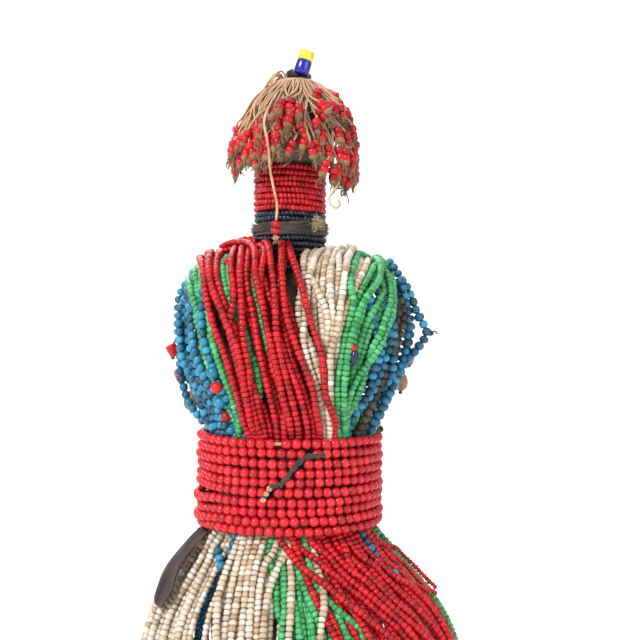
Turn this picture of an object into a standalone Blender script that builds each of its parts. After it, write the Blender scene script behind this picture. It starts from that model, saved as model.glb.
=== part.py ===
"""Namji doll: a carved wooden figure on a low base, dressed in strings of glass beads.

The doll faces -Y, its back is towards +Y, and +Z is up. The origin is the middle of the base's
underside. An angle round the doll is 0 at its back and grows towards +X.
"""

import math

import bmesh
import bpy
import numpy as np

MM = 0.001
GAP = 0.3 * MM  # between pieces that touch
LOOSE = 0.8 * MM  # between bundles that lie side by side

# The carving, measured up from the floor
BASE_THICKNESS = 8 * MM
BASE_HALF_WIDTH = 43 * MM
BASE_HALF_DEPTH = 39 * MM
LEG_LENGTH = 92 * MM
LEG_RADIUS = 13.5 * MM
LEG_SPACING = 39 * MM
FOOT_LENGTH = 52 * MM
FOOT_WIDTH = 25 * MM
FOOT_HEIGHT = 12 * MM
TORSO_LENGTH = 146.5 * MM
NECK_RADIUS = 13.4 * MM
HEAD_HEIGHT = 38 * MM
HEAD_HALF_WIDTH = 19 * MM
HEAD_HALF_DEPTH = 20.5 * MM
HEAD_LEAN = 2.5 * MM  # the crown's offset towards -X
WAIST_HALF_WIDTH = 31.5 * MM
WAIST_HALF_DEPTH = 28.5 * MM
CHEST_HALF_WIDTH = 29.5 * MM
CHEST_HALF_DEPTH = 21.5 * MM
ARM_RADIUS = 8 * MM

# The neck's windings, from the shoulders up
WRAP_ROWS = 6
WRAP_BEAD = 2.6 * MM
BINDING_HEIGHT = 5.6 * MM
BINDING_WALL = 2.2 * MM
RING_ROWS = 2
RING_BEAD = 2.1 * MM
COLLAR_ROWS = 8
COLLAR_BEAD = 2.55 * MM
NECK_SIDES = 14

# The belt
BELT_ROWS = 10
BELT_BEAD = 4.05 * MM
BELT_SIDES = 20
BELT_BOTTOM_ABOVE_CROTCH = 35 * MM

# The bundles of strings over the shoulders, and how thick they lie
BUNDLE_AT_BELT = 4.4 * MM
BUNDLE_AT_SHOULDER = 8 * MM
BLUE_BUNDLE = 4 * MM
GROOVE = 1.2 * MM  # between two ridges of strings
DRAPE_HALF_WIDTH = 46.5 * MM
DRAPE_BACK_DEPTH = 34.5 * MM
DRAPE_FRONT_DEPTH = 29 * MM
DRAPE_WIDEST_SHARE = 0.775  # of the torso's length, up from the crotch
DRAPE_OVER_SHOULDER = 7 * MM

# The skirt of strings
SKIRT_TOP = 4.2 * MM  # thickness
SKIRT_THICK = 5.5 * MM
SKIRT_HALF_WIDTH = 73 * MM
SKIRT_HALF_DEPTH = 64 * MM
SKIRT_SWAY = 4.5 * MM  # the hem's offset towards -X
SKIRT_HEM_HEIGHT = 37 * MM
SKIRT_RAGGED = 2.6 * MM  # how far the hem rises and falls

# The fringe, the topknot and the small pieces
FRINGE_CORD = 2.2 * MM
FRINGE_BEADS = 5.2 * MM
FRINGE_LOCKS = 14
FRINGE_HEM_BACK = 16 * MM  # below the jaw
FRINGE_HEM_FRONT = 20 * MM  # above the jaw
FRINGE_HALF_WIDTH = 31 * MM
FRINGE_OVER_CROWN = 1.6 * MM
KNOB_RADIUS = 5.8 * MM
KNOB_HEIGHT = 5.8 * MM
TOP_BEAD_RADIUS = 3.6 * MM
BLUE_BEAD_LENGTH = 5.6 * MM
YELLOW_BEAD_LENGTH = 4.2 * MM
TOP_LEAN = 17  # degrees, towards -X
STRAP_WIDTH = 9 * MM
STRAP_THICKNESS = 1.8 * MM
STRAP_LENGTH = 30 * MM
STRAP_STAND = 1 * MM
TIE_RADIUS = 0.9 * MM
PENDANT_BEAD = 5.4 * MM
PENDANT_NUT = 7.2 * MM
LOOSE_STRING_RADIUS = 1.6 * MM
LOOSE_STRING_ANGLE = 84  # degrees from the doll's back
LOOP_OUT = 12 * MM  # how far the loose string stands out from the side strings

# Levels, each worked out from the pieces below it
BASE_TOP = BASE_THICKNESS
CROTCH = BASE_TOP + LEG_LENGTH
NECK_FOOT = CROTCH + TORSO_LENGTH
WRAP_TOP = NECK_FOOT + WRAP_ROWS * WRAP_BEAD
BINDING_TOP = WRAP_TOP + GAP + BINDING_HEIGHT
RING_TOP = BINDING_TOP + GAP + RING_ROWS * RING_BEAD
COLLAR_TOP = RING_TOP + GAP + COLLAR_ROWS * COLLAR_BEAD
JAW = COLLAR_TOP + GAP
CROWN = JAW + HEAD_HEIGHT
BELT_BOTTOM = CROTCH + BELT_BOTTOM_ABOVE_CROTCH
BELT_TOP = BELT_BOTTOM + BELT_ROWS * BELT_BEAD
BELT_MIDDLE = (BELT_BOTTOM + BELT_TOP) / 2
DRAPE_WIDEST = CROTCH + DRAPE_WIDEST_SHARE * TORSO_LENGTH
DRAPE_TOP = NECK_FOOT + DRAPE_OVER_SHOULDER

# Half sizes of what lies under the belt
UNDER_BELT_WIDTH = WAIST_HALF_WIDTH + LOOSE
UNDER_BELT_DEPTH = WAIST_HALF_DEPTH + LOOSE
FACET_SHARE = 1 / math.cos(math.pi / BELT_SIDES)  # a corner's reach against a flat's
BELT_WIDTH_INSIDE = (UNDER_BELT_WIDTH + BUNDLE_AT_BELT + GAP) * FACET_SHARE
BELT_DEPTH_INSIDE = (UNDER_BELT_DEPTH + BUNDLE_AT_BELT + GAP) * FACET_SHARE

# Colour, roughness and metallic value of each finish
FINISHES = {
    "wood": ((0.050, 0.032, 0.024), 0.55, 0.0),
    "red_bead": ((0.62, 0.015, 0.030), 0.35, 0.0),
    "belt_bead": ((0.75, 0.030, 0.050), 0.40, 0.0),
    "navy_bead": ((0.012, 0.018, 0.055), 0.30, 0.0),
    "blue_bead": ((0.020, 0.180, 0.340), 0.40, 0.0),
    "green_bead": ((0.070, 0.450, 0.160), 0.40, 0.0),
    "white_bead": ((0.720, 0.600, 0.450), 0.45, 0.0),
    "fibre": ((0.400, 0.230, 0.120), 0.90, 0.0),
    "binding": ((0.120, 0.085, 0.065), 0.95, 0.0),
    "leather": ((0.060, 0.045, 0.047), 0.70, 0.0),
    "resin": ((0.010, 0.010, 0.010), 0.45, 0.0),
    "royal_bead": ((0.012, 0.014, 0.330), 0.20, 0.0),
    "yellow_bead": ((0.830, 0.720, 0.040), 0.25, 0.0),
    "nut": ((0.380, 0.170, 0.070), 0.50, 0.0),
    "dark_cord": ((0.050, 0.035, 0.025), 0.90, 0.0),
}

SMOOTH_BELOW = math.radians(50)


def clear_scene():
    for thing in list(bpy.data.objects):
        bpy.data.objects.remove(thing)


def finish_named(name):
    found = bpy.data.materials.get(name)
    if found:
        return found
    colour, roughness, metallic = FINISHES[name]
    made = bpy.data.materials.new(name)
    made.use_nodes = True
    shader = made.node_tree.nodes["Principled BSDF"]
    shader.inputs["Base Color"].default_value = (*colour, 1)
    shader.inputs["Roughness"].default_value = roughness
    shader.inputs["Metallic"].default_value = metallic
    return made


def solid(name, points, faces, finish):
    """One closed mesh object whose faces are made to point out."""
    mesh = bpy.data.meshes.new(name)
    mesh.from_pydata([tuple(p) for p in points], [], faces)
    working = bmesh.new()
    working.from_mesh(mesh)
    bmesh.ops.recalc_face_normals(working, faces=working.faces)
    working.to_mesh(mesh)
    working.free()
    mesh.shade_smooth()
    mesh.set_sharp_from_angle(angle=SMOOTH_BELOW)
    made = bpy.data.objects.new(name, mesh)
    bpy.context.scene.collection.objects.link(made)
    mesh.materials.append(finish_named(finish))
    return made


def change_shape(body, tool, operation):
    """Joins tool to body or cuts it away, and leaves tool out of the model."""
    step = body.modifiers.new(operation.lower() + "_" + tool.name, "BOOLEAN")
    step.operation = operation
    step.solver = "EXACT"
    step.object = tool
    tool.hide_render = True
    tool.display_type = "WIRE"


def smooth_curve(at, places, values):
    """A smooth curve through a few values, level beyond the first and last."""
    at = np.clip(at, places[0], places[-1])
    places, values = np.asarray(places, float), np.asarray(values, float)
    slopes = np.gradient(values, places, axis=0)
    k = np.clip(np.searchsorted(places, at, side="right") - 1, 0, len(places) - 2)
    span = places[k + 1] - places[k]
    t = (at - places[k]) / span
    return (
        (1 + 2 * t) * (1 - t) ** 2 * values[k]
        + t * (1 - t) ** 2 * span * slopes[k]
        + t * t * (3 - 2 * t) * values[k + 1]
        + t * t * (t - 1) * span * slopes[k + 1]
    )


def oval(angle, half_width, half_depth, power=2.0):
    """X and Y on a rounded oval, at an angle from the doll's back."""
    s, c = math.sin(angle), math.cos(angle)
    reach = (abs(s / half_width) ** power + abs(c / half_depth) ** power) ** (-1 / power)
    return reach * s, reach * c


def oval_ring(level, half_width, half_depth, sides, power=2.0, centre=(0.0, 0.0)):
    ring = []
    for i in range(sides):
        x, y = oval(2 * math.pi * i / sides, half_width, half_depth, power)
        ring.append((centre[0] + x, centre[1] + y, level))
    return ring


def loft(name, rings, finish):
    """A closed solid through rings of equal count, with flat ends."""
    sides = len(rings[0])
    points = [p for ring in rings for p in ring]
    faces = [list(range(sides)), [len(points) - sides + i for i in range(sides)]]
    for k in range(len(rings) - 1):
        for i in range(sides):
            j = (i + 1) % sides
            faces.append([k * sides + i, k * sides + j, (k + 1) * sides + j, (k + 1) * sides + i])
    return solid(name, points, faces, finish)


def sleeve(name, outer, inner, finish):
    """A closed wall round an axis: outer rings from bottom to top, and two or more inner rings."""
    sides = len(outer[0])
    rings = list(outer) + list(reversed(inner))
    points = [p for ring in rings for p in ring]
    faces = []
    for k in range(len(rings)):
        n = (k + 1) % len(rings)
        for i in range(sides):
            j = (i + 1) % sides
            faces.append([k * sides + i, k * sides + j, n * sides + j, n * sides + i])
    return solid(name, points, faces, finish)


def slab(name, outer, inner, finish):
    """A closed curved slab. Outer rows have a peak between each two inner points."""
    wide, narrow = len(outer[0]), len(inner[0])
    points = [p for row in outer for p in row] + [p for row in inner for p in row]
    first_inner = len(outer) * wide
    faces = []

    def out(k, i):
        return k * wide + i

    def inn(k, i):
        return first_inner + k * narrow + i

    for k in range(len(outer) - 1):
        for i in range(wide - 1):
            faces.append([out(k, i), out(k, i + 1), out(k + 1, i + 1), out(k + 1, i)])
        for i in range(narrow - 1):
            faces.append([inn(k, i), inn(k + 1, i), inn(k + 1, i + 1), inn(k, i + 1)])
        faces.append([out(k, 0), out(k + 1, 0), inn(k + 1, 0), inn(k, 0)])
        last = (wide - 1, narrow - 1)
        faces.append([out(k, last[0]), inn(k, last[1]), inn(k + 1, last[1]), out(k + 1, last[0])])
    for k in (0, len(outer) - 1):
        for i in range(narrow - 1):
            a, b, c = out(k, 2 * i), out(k, 2 * i + 1), out(k, 2 * i + 2)
            faces.append([a, b, inn(k, i)])
            faces.append([b, inn(k, i + 1), inn(k, i)])
            faces.append([b, c, inn(k, i + 1)])
    return solid(name, points, faces, finish)


def ridged_slab(name, surface, stations, ridges, thickness, finish):
    """A bundle lying on surface(u, k), with a ridge for each pair of strings.

    thickness(k) is the height of the ridges at station k.
    """
    wide = 2 * ridges + 1
    rows = np.array([[surface(i / (wide - 1), k) for i in range(wide)] for k in range(stations)])
    along = np.gradient(rows, axis=0)
    across = np.gradient(rows, axis=1)
    normals = np.cross(across, along)
    normals /= np.linalg.norm(normals, axis=2, keepdims=True)
    middle = np.array([0.0, 0.0, NECK_FOOT - TORSO_LENGTH / 3])
    away = (rows - middle) * (1.0, 1.0, 0.5)
    if (normals * away).sum() < 0:
        normals = -normals
    outer = []
    for k in range(stations):
        height = thickness(k)
        row = []
        for i in range(wide):
            lift = height if i % 2 else height - GROOVE
            row.append(rows[k, i] + normals[k, i] * lift)
        outer.append(row)
    inner = [[rows[k, i] for i in range(0, wide, 2)] for k in range(stations)]
    return slab(name, outer, inner, finish)


# The carved figure


# The head's rings: share of its height, then its half width and half depth as shares of the
# widest, and its roundness.
HEAD_RINGS = (
    (0.03, 0.82, 0.76, 2.0),
    (0.16, 0.94, 0.93, 2.1),
    (0.40, 1.00, 1.00, 2.2),
    (0.62, 0.94, 0.96, 2.2),
    (0.80, 0.74, 0.80, 2.1),
    (0.92, 0.50, 0.55, 2.0),
    (1.00, 0.24, 0.25, 2.0),
)


def head_centre(level):
    """Where the middle of the slightly leaning head is at a level."""
    return (-HEAD_LEAN * min(1.0, max(0.0, (level - JAW) / HEAD_HEIGHT)), 0.0)


def torso_and_head():
    """Hips, torso, neck and head in one loft."""
    sides = 18
    wide, deep = WAIST_HALF_WIDTH, WAIST_HALF_DEPTH
    torso = (
        (0.00, 1.05 * wide, 0.90 * deep, 2.2),
        (0.11, 1.06 * wide, 1.05 * deep, 2.2),
        (0.23, wide, deep, 2.1),
        (0.52, 0.97 * wide, 0.95 * deep, 2.1),
        (0.72, (wide + CHEST_HALF_WIDTH) / 2, (deep + 2 * CHEST_HALF_DEPTH) / 3, 2.3),
        (0.90, CHEST_HALF_WIDTH, CHEST_HALF_DEPTH, 2.5),
        (0.975, 0.85 * CHEST_HALF_WIDTH, 0.86 * CHEST_HALF_DEPTH, 2.3),
    )
    rings = [
        oval_ring(CROTCH + share * TORSO_LENGTH, width, depth, sides, power)
        for share, width, depth, power in torso
    ]
    for level in (NECK_FOOT - GAP, JAW):
        rings.append(oval_ring(level, NECK_RADIUS, NECK_RADIUS, sides))
    for share, width, depth, power in HEAD_RINGS:
        level = JAW + share * HEAD_HEIGHT
        half_width, half_depth = width * HEAD_HALF_WIDTH, depth * HEAD_HALF_DEPTH
        rings.append(oval_ring(level, half_width, half_depth, sides, power, head_centre(level)))
    return loft("figure", rings, "wood")


def tube(name, path, radii, sides, finish, flatten=1.0):
    """A closed limb along a path of points, with a radius at each."""
    path = [np.array(p, float) for p in path]
    rings = []
    side = np.array((0.31, 0.82, 0.48))
    for k, centre in enumerate(path):
        ahead = path[min(k + 1, len(path) - 1)] - path[max(k - 1, 0)]
        ahead /= np.linalg.norm(ahead)
        side = side - ahead * (side @ ahead)
        side /= np.linalg.norm(side)
        up = np.cross(side, ahead)
        ring = []
        for i in range(sides):
            angle = 2 * math.pi * i / sides
            spread = side * math.cos(angle) + up * math.sin(angle) * flatten
            ring.append(tuple(centre + spread * radii[k]))
        rings.append(ring)
    return loft(name, rings, finish)


def arm(side):
    """From a rounded shoulder, out to the elbow and forward to the hand on the belly."""
    shoulder = CROTCH + 0.958 * TORSO_LENGTH
    out, down = DRAPE_HALF_WIDTH, TORSO_LENGTH
    forward = DRAPE_FRONT_DEPTH
    belly = forward + 1.2 * BUNDLE_AT_BELT + ARM_RADIUS + 4 * GAP
    places = (0.0, 0.22, 0.46, 0.72, 0.9, 1.0)
    path = (
        (0.52 * out, 0.0, shoulder),
        (0.753 * out, 0.12 * ARM_RADIUS, shoulder - 0.102 * down),
        (0.753 * out, -0.14 * forward, shoulder - 0.225 * down),
        (0.744 * out, -forward, shoulder - 0.28 * down),
        (0.387 * out, -belly, shoulder - 0.30 * down),
        (0.204 * out, -1.07 * belly, shoulder - 0.314 * down),
    )
    radii = (
        1.2 * ARM_RADIUS,
        ARM_RADIUS,
        0.95 * ARM_RADIUS,
        0.72 * ARM_RADIUS,
        0.8 * ARM_RADIUS,
        0.45 * ARM_RADIUS,
    )
    steps = 10
    points, sizes = [], []
    for k in range(steps):
        t = k / (steps - 1)
        x, y, z = smooth_curve(t, places, path)
        points.append((side * x, y, z))
        sizes.append(float(smooth_curve(t, places, radii)))
    name = "arm_left" if side > 0 else "arm_right"
    return tube(name, points, sizes, 8, "wood")


def leg(side):
    centre = side * LEG_SPACING / 2
    ankle = 0.72 * LEG_RADIUS
    stations = (
        (BASE_TOP - BASE_THICKNESS / 4, ankle, 0.0),
        (BASE_TOP + 0.15 * LEG_LENGTH, ankle, 0.0),
        (BASE_TOP + 0.42 * LEG_LENGTH, LEG_RADIUS, -0.15 * LEG_RADIUS),
        (BASE_TOP + 0.62 * LEG_LENGTH, 0.9 * LEG_RADIUS, -0.07 * LEG_RADIUS),
        (BASE_TOP + 0.86 * LEG_LENGTH, 1.12 * LEG_RADIUS, 0.15 * LEG_RADIUS),
        (BASE_TOP + 1.09 * LEG_LENGTH, 1.05 * LEG_RADIUS, 0.07 * LEG_RADIUS),
    )
    rings = [oval_ring(z, r, r, 10, centre=(centre, y)) for z, r, y in stations]
    return loft("leg_left" if side > 0 else "leg_right", rings, "wood")


def foot(side):
    """A plain carved foot: a rounded wedge, higher at the heel than at the toes."""
    centre = side * LEG_SPACING / 2
    heel = 0.30 * FOOT_LENGTH
    rings = []
    shape = ((0, 0.62, 0.8), (0.12, 0.86, 1.0), (0.55, 0.96, 0.92), (0.88, 1.0, 0.62), (1, 0.8, 0.42))
    for share, wide, high in shape:
        y = heel - share * FOOT_LENGTH
        half, top = wide * FOOT_WIDTH / 2, BASE_TOP + high * FOOT_HEIGHT
        floor, edge = BASE_TOP - BASE_THICKNESS / 4, top - FOOT_HEIGHT / 3
        rings.append(
            [
                (centre - half, y, floor),
                (centre + half, y, floor),
                (centre + half, y, edge),
                (centre + 0.6 * half, y, top),
                (centre - 0.6 * half, y, top),
                (centre - half, y, edge),
            ]
        )
    return loft("foot_left" if side > 0 else "foot_right", rings, "wood")


def base():
    bevel = 0.19 * BASE_THICKNESS
    rings = [
        oval_ring(0.0, BASE_HALF_WIDTH - bevel, BASE_HALF_DEPTH - bevel, 24, 2.3),
        oval_ring(bevel, BASE_HALF_WIDTH, BASE_HALF_DEPTH, 24, 2.3),
        oval_ring(BASE_TOP - bevel, BASE_HALF_WIDTH, BASE_HALF_DEPTH, 24, 2.3),
        oval_ring(BASE_TOP, BASE_HALF_WIDTH - bevel, BASE_HALF_DEPTH - bevel, 24, 2.3),
    ]
    return loft("base", rings, "wood")


def nose():
    """A straight wedge down the middle of the face."""
    front = -HEAD_HALF_DEPTH
    top, bottom = JAW + 0.53 * HEAD_HEIGHT, JAW + 0.28 * HEAD_HEIGHT
    x = head_centre((top + bottom) / 2)[0]
    root = front + 0.24 * HEAD_HALF_DEPTH
    points = []
    for level, half_back, half_front, out in ((top, 0.06, 0.05, 0.01), (bottom, 0.18, 0.105, 0.165)):
        tip = front - out * HEAD_HALF_DEPTH
        corners = ((-half_back, root), (half_back, root), (half_front, tip), (-half_front, tip))
        points += [(x + across * HEAD_HALF_WIDTH, y, level) for across, y in corners]
    faces = [[0, 1, 2, 3], [7, 6, 5, 4], [0, 4, 5, 1], [1, 5, 6, 2], [2, 6, 7, 3], [3, 7, 4, 0]]
    return solid("nose", points, faces, "wood")


def face_hollow(name, across, level, width, height, depth):
    """A shallow oval cut in the front of the face; sizes are shares of the head's half width."""
    x = across * HEAD_HALF_WIDTH
    surface = -HEAD_HALF_DEPTH * (1 - abs(across) ** 2.2) ** (1 / 2.2)
    x += head_centre(level)[0]
    rings = []
    for out, size in ((-0.16, 1.0), (0.0, 1.0), (depth, 0.6)):
        y = surface + out * HEAD_HALF_WIDTH
        half_width, half_height = (half * size * HEAD_HALF_WIDTH for half in (width / 2, height / 2))
        turn = [2 * math.pi * i / 10 for i in range(10)]
        rings.append([(x + half_width * math.cos(a), y, level + half_height * math.sin(a)) for a in turn])
    return loft(name, rings, "wood")


def ear(side):
    """A small carved ear, a flat rounded knob."""
    level = JAW + 0.42 * HEAD_HEIGHT
    x = 0.92 * side * HEAD_HALF_WIDTH + head_centre(level)[0]
    turn = [2 * math.pi * i / 8 for i in range(8)]
    rings = []
    for out, size in ((0.0, 1.0), (0.116, 1.0), (0.168, 0.6)):
        deep, high = 0.137 * size * HEAD_HALF_WIDTH, 0.242 * size * HEAD_HALF_WIDTH
        shift = side * out * HEAD_HALF_WIDTH
        rings.append([(x + shift, deep * math.cos(a), level + high * math.sin(a)) for a in turn])
    return loft("ear_left" if side > 0 else "ear_right", rings, "wood")


def figure():
    body = torso_and_head()
    for make in (arm, leg, foot, ear):
        for side in (1, -1):
            change_shape(body, make(side), "UNION")
    change_shape(body, base(), "UNION")
    change_shape(body, nose(), "UNION")
    eye_level, mouth_level = JAW + 0.45 * HEAD_HEIGHT, JAW + 0.15 * HEAD_HEIGHT
    for side in (1, -1):
        eye = face_hollow(f"eye_{side}", 0.42 * side, eye_level, 0.37, 0.19, 0.068)
        change_shape(body, eye, "DIFFERENCE")
    change_shape(body, face_hollow("mouth", 0.0, mouth_level, 0.47, 0.126, 0.084), "DIFFERENCE")
    return body


# The windings round the neck and the belt


def wound_rows(name, bottom, rows, bead, inside_width, inside_depth, sides, finish, power=2.0):
    """Rows of beads wound round a form, as a wall with one ridge a row."""
    outer = []
    for k in range(2 * rows + 1):
        reach = bead if k % 2 else 0.55 * bead
        level = bottom + k * bead / 2
        outer.append(oval_ring(level, inside_width + reach, inside_depth + reach, sides, power))
    inner = [
        oval_ring(bottom, inside_width, inside_depth, sides, power),
        oval_ring(bottom + rows * bead, inside_width, inside_depth, sides, power),
    ]
    return sleeve(name, outer, inner, finish)


def neck_windings():
    """Navy rows on the shoulders, a band of thread, a navy ring and the red collar."""
    inside = (NECK_RADIUS + GAP) / math.cos(math.pi / NECK_SIDES)

    def rows(name, bottom, count, bead, finish):
        wound_rows(name, bottom, count, bead, inside, inside, NECK_SIDES, finish)

    def band(level, wall=0.0):
        return oval_ring(level, inside + wall, inside + wall, NECK_SIDES)

    rows("neck_wrap_navy", NECK_FOOT, WRAP_ROWS, WRAP_BEAD, "navy_bead")
    low, high = WRAP_TOP + GAP, BINDING_TOP
    outer = [
        band(low, BINDING_WALL),
        band((low + high) / 2, 1.3 * BINDING_WALL),
        band(high, 0.9 * BINDING_WALL),
    ]
    sleeve("neck_binding", outer, [band(low), band(high)], "binding")
    rows("neck_ring_navy", BINDING_TOP + GAP, RING_ROWS, RING_BEAD, "navy_bead")
    rows("neck_collar_red", RING_TOP + GAP, COLLAR_ROWS, COLLAR_BEAD, "red_bead")


def belt():
    inside = (BELT_WIDTH_INSIDE, BELT_DEPTH_INSIDE)
    wound_rows("belt_red", BELT_BOTTOM, BELT_ROWS, BELT_BEAD, *inside, BELT_SIDES, "belt_bead", 2.1)


def belt_tie():
    """The cord that knots the belt's rows together, slanting down its back."""
    steps = 9
    outside = BELT_BEAD + 2 * GAP + TIE_RADIUS
    path = []
    for k in range(steps):
        t = k / (steps - 1)
        angle = math.radians(-21 + 29 * t)
        level = BELT_TOP - (1.3 + 5.3 * t) * BELT_BEAD
        x, y = oval(angle, BELT_WIDTH_INSIDE + outside, BELT_DEPTH_INSIDE + outside, 2.1)
        path.append((x, y, level))
    tube("belt_tie", path, [TIE_RADIUS] * steps, 6, "dark_cord")


# The bundles over the shoulders. The drape is the form that they lie on: torso, arms and
# shoulders together. t runs from 0 on the shoulder's top to 1 at the belt, and one station on
# to the end under it.

TUCK = BELT_MIDDLE + GAP  # where the bundles end under the belt
TUCK_START = BELT_TOP + LOOSE
EDGE_PLACES = (0.0, 0.125, 0.25, 0.5, 0.75, 1.0)
SHOULDER_POWER = 3.5
DEPTH_POWER = 2.2


def drape_sizes(level, back):
    """Half width, half depth and roundness of the drape at a level below its widest."""
    depth = DRAPE_BACK_DEPTH if back else DRAPE_FRONT_DEPTH
    fall = DRAPE_WIDEST - TUCK_START
    places = (TUCK_START, TUCK_START + 0.22 * fall, TUCK_START + 0.5 * fall, DRAPE_WIDEST)
    wide = smooth_curve(
        level,
        places,
        (
            UNDER_BELT_WIDTH,
            0.86 * UNDER_BELT_WIDTH + 0.14 * DRAPE_HALF_WIDTH,
            0.4 * UNDER_BELT_WIDTH + 0.6 * DRAPE_HALF_WIDTH,
            DRAPE_HALF_WIDTH,
        ),
    )
    deep = smooth_curve(
        level,
        places,
        (
            UNDER_BELT_DEPTH,
            0.8 * UNDER_BELT_DEPTH + 0.2 * depth,
            0.3 * UNDER_BELT_DEPTH + 0.7 * depth,
            depth,
        ),
    )
    power = smooth_curve(level, places, (2.1, 2.2, 2.7, SHOULDER_POWER))
    return float(wide), float(deep), float(power)


def drape_top(x):
    """Level of the drape's ridge over the shoulder at x."""
    rise = DRAPE_TOP - DRAPE_WIDEST
    return DRAPE_WIDEST + rise * (1 - min(1, abs(x) / DRAPE_HALF_WIDTH) ** SHOULDER_POWER) ** (
        1 / SHOULDER_POWER
    )


def drape_depth(x, level, back):
    """How far the drape stands off the doll's middle plane at x and a level."""
    wide, deep, power = drape_sizes(min(level, DRAPE_WIDEST), back)
    above = max(0.0, (level - DRAPE_WIDEST) / (DRAPE_TOP - DRAPE_WIDEST))
    left = 1 - min(1, abs(x) / wide) ** power - above**SHOULDER_POWER
    return deep * max(0.0, left) ** (1 / DEPTH_POWER)


def drape_point(x, t, side):
    """The drape's point at x, t down from the shoulder, on the back (side 1) or front (-1)."""
    top = drape_top(x)
    if t > 1:
        level = TUCK_START + (TUCK - TUCK_START) * (t - 1) * HALF_STATIONS
    else:
        level = top + (TUCK_START - top) * (1 - math.cos(t * math.pi / 2))
    depth = 0.0 if t < 1e-6 else drape_depth(x, level, side > 0)
    return (x, side * depth, level)


# Each bundle's two edges, as X at EDGE_PLACES down the back and down the front, in the unit of
# which the drape's half width holds EDGE_UNITS. The first edge is nearer +X.
EDGE_UNITS = 46.5
BUNDLES = {
    "sash_green_left": {
        "finish": "green_bead",
        "ridges": 3,
        "back": ((43.0, 42.8, 42.0, 38.0, 29.5, 17.0), (37.8, 37.3, 35.9, 31.8, 23.3, 11.3)),
        "front": ((43.0, 42.0, 38.0, 20.5, 14.0, 9.0), (37.8, 36.0, 32.0, 15.8, 8.8, 3.8)),
    },
    "sash_red": {
        "finish": "red_bead",
        "ridges": 7,
        "back": ((37.0, 36.5, 35.1, 31.0, 22.5, 10.5), (18.5, 16.2, 4.2, -4.5, -14.0, -17.3)),
        "front": ((37.0, 35.2, 31.2, 15.0, 8.0, 3.0), (18.5, 16.5, 5.0, -7.5, -13.5, -17.5)),
    },
    "sash_white": {
        "finish": "white_bead",
        "ridges": 5,
        "back": ((-18.5, -16.8, -10.0, -6.5, -14.8, -18.1), (-32.0, -33.2, -32.5, -26.5, -21.6, -22.4)),
        "front": ((-18.5, -16.5, -5.0, -8.5, -14.5, -18.4), (-32.0, -32.5, -28.5, -14.6, -17.6, -21.8)),
    },
    "sash_green_right": {
        "finish": "green_bead",
        "ridges": 3,
        "back": ((-32.8, -34.0, -33.3, -27.3, -22.4, -23.2), (-43.5, -43.8, -43.5, -40.5, -30.0, -27.5)),
        "front": ((-32.8, -33.3, -29.4, -15.5, -18.5, -22.7), (-43.0, -42.0, -38.0, -20.6, -22.6, -27.0)),
    },
}
HALF_STATIONS = 5  # from the shoulder's top down to the belt


def bundle_edge(values, t):
    return float(smooth_curve(t, EDGE_PLACES, values)) * DRAPE_HALF_WIDTH / EDGE_UNITS


def bundle_point(bundle, u, s):
    """Point across (u) and along (s, from -1 at the front to 1 at the back) a bundle."""
    edges = bundle["back" if s >= 0 else "front"]
    x = (1 - u) * bundle_edge(edges[0], abs(s)) + u * bundle_edge(edges[1], abs(s))
    return drape_point(x, abs(s), 1 if s >= 0 else -1)


def sash(name):
    bundle = BUNDLES[name]
    stations = 2 * HALF_STATIONS + 3

    def place(k):
        return (k - 1) / HALF_STATIONS - 1

    def thickness(k):
        return float(
            smooth_curve(
                abs(place(k)),
                (0.0, 0.35, 0.8, 1.0),
                (BUNDLE_AT_SHOULDER, 0.9 * BUNDLE_AT_SHOULDER, 1.1 * BUNDLE_AT_BELT, BUNDLE_AT_BELT),
            )
        )

    def surface(u, k):
        return bundle_point(bundle, u, place(k))

    return ridged_slab(name, surface, stations, bundle["ridges"], thickness, bundle["finish"])


def edge_angles(name, half, edge):
    """Levels and angles along a bundle's edge, from under the belt to the shoulder's top."""
    side = 1 if half == "back" else -1
    levels, angles = [], []
    for k in range(25):
        t = 1 - k / 24
        x, y, z = drape_point(bundle_edge(BUNDLES[name][half][edge], t), t, side)
        levels.append(z)
        angles.append(math.atan2(abs(x), y))
    return levels, angles


def drape_reach(angle, level):
    """How far the drape reaches at an angle from the back and a level, found by halving."""
    wide = drape_sizes(min(level, DRAPE_WIDEST), True)[0]
    low, high = 0.0, 2 * wide
    for _ in range(40):
        reach = (low + high) / 2
        x, y = reach * math.sin(angle), reach * math.cos(angle)
        inside = abs(x) < wide and abs(y) < drape_depth(x, level, y >= 0)
        low, high = (reach, high) if inside else (low, reach)
    return low


def side_bundle(name, side, neighbour, edge):
    """Blue strings that hang over the arm, between a green bundle's edge and the forearm."""
    levels, angles = edge_angles(neighbour, "back", edge)
    front_levels, front_angles = edge_angles(neighbour, "front", edge)
    top = drape_top(bundle_edge(BUNDLES[neighbour]["back"][edge], 0.0)) - BLUE_BUNDLE
    stations = 8

    def surface(u, k):
        level = TUCK + (top - TUCK) * k / (stations - 1)
        clear = 2.7 * LOOSE / DRAPE_HALF_WIDTH
        back = float(np.interp(level, levels, angles)) + clear
        rise = (level - TUCK) / (top - TUCK)
        front = math.radians(float(smooth_curve(rise, (0, 0.25, 0.45, 0.75, 1), (132, 118, 103, 102, 94))))
        front = min(front, float(np.interp(level, front_levels, front_angles)) - clear)
        angle = back + (front - back) * u
        reach = drape_reach(angle, level)
        return (side * reach * math.sin(angle), reach * math.cos(angle), level)

    return ridged_slab(name, surface, stations, 4, lambda k: BLUE_BUNDLE, "blue_bead")


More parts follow.
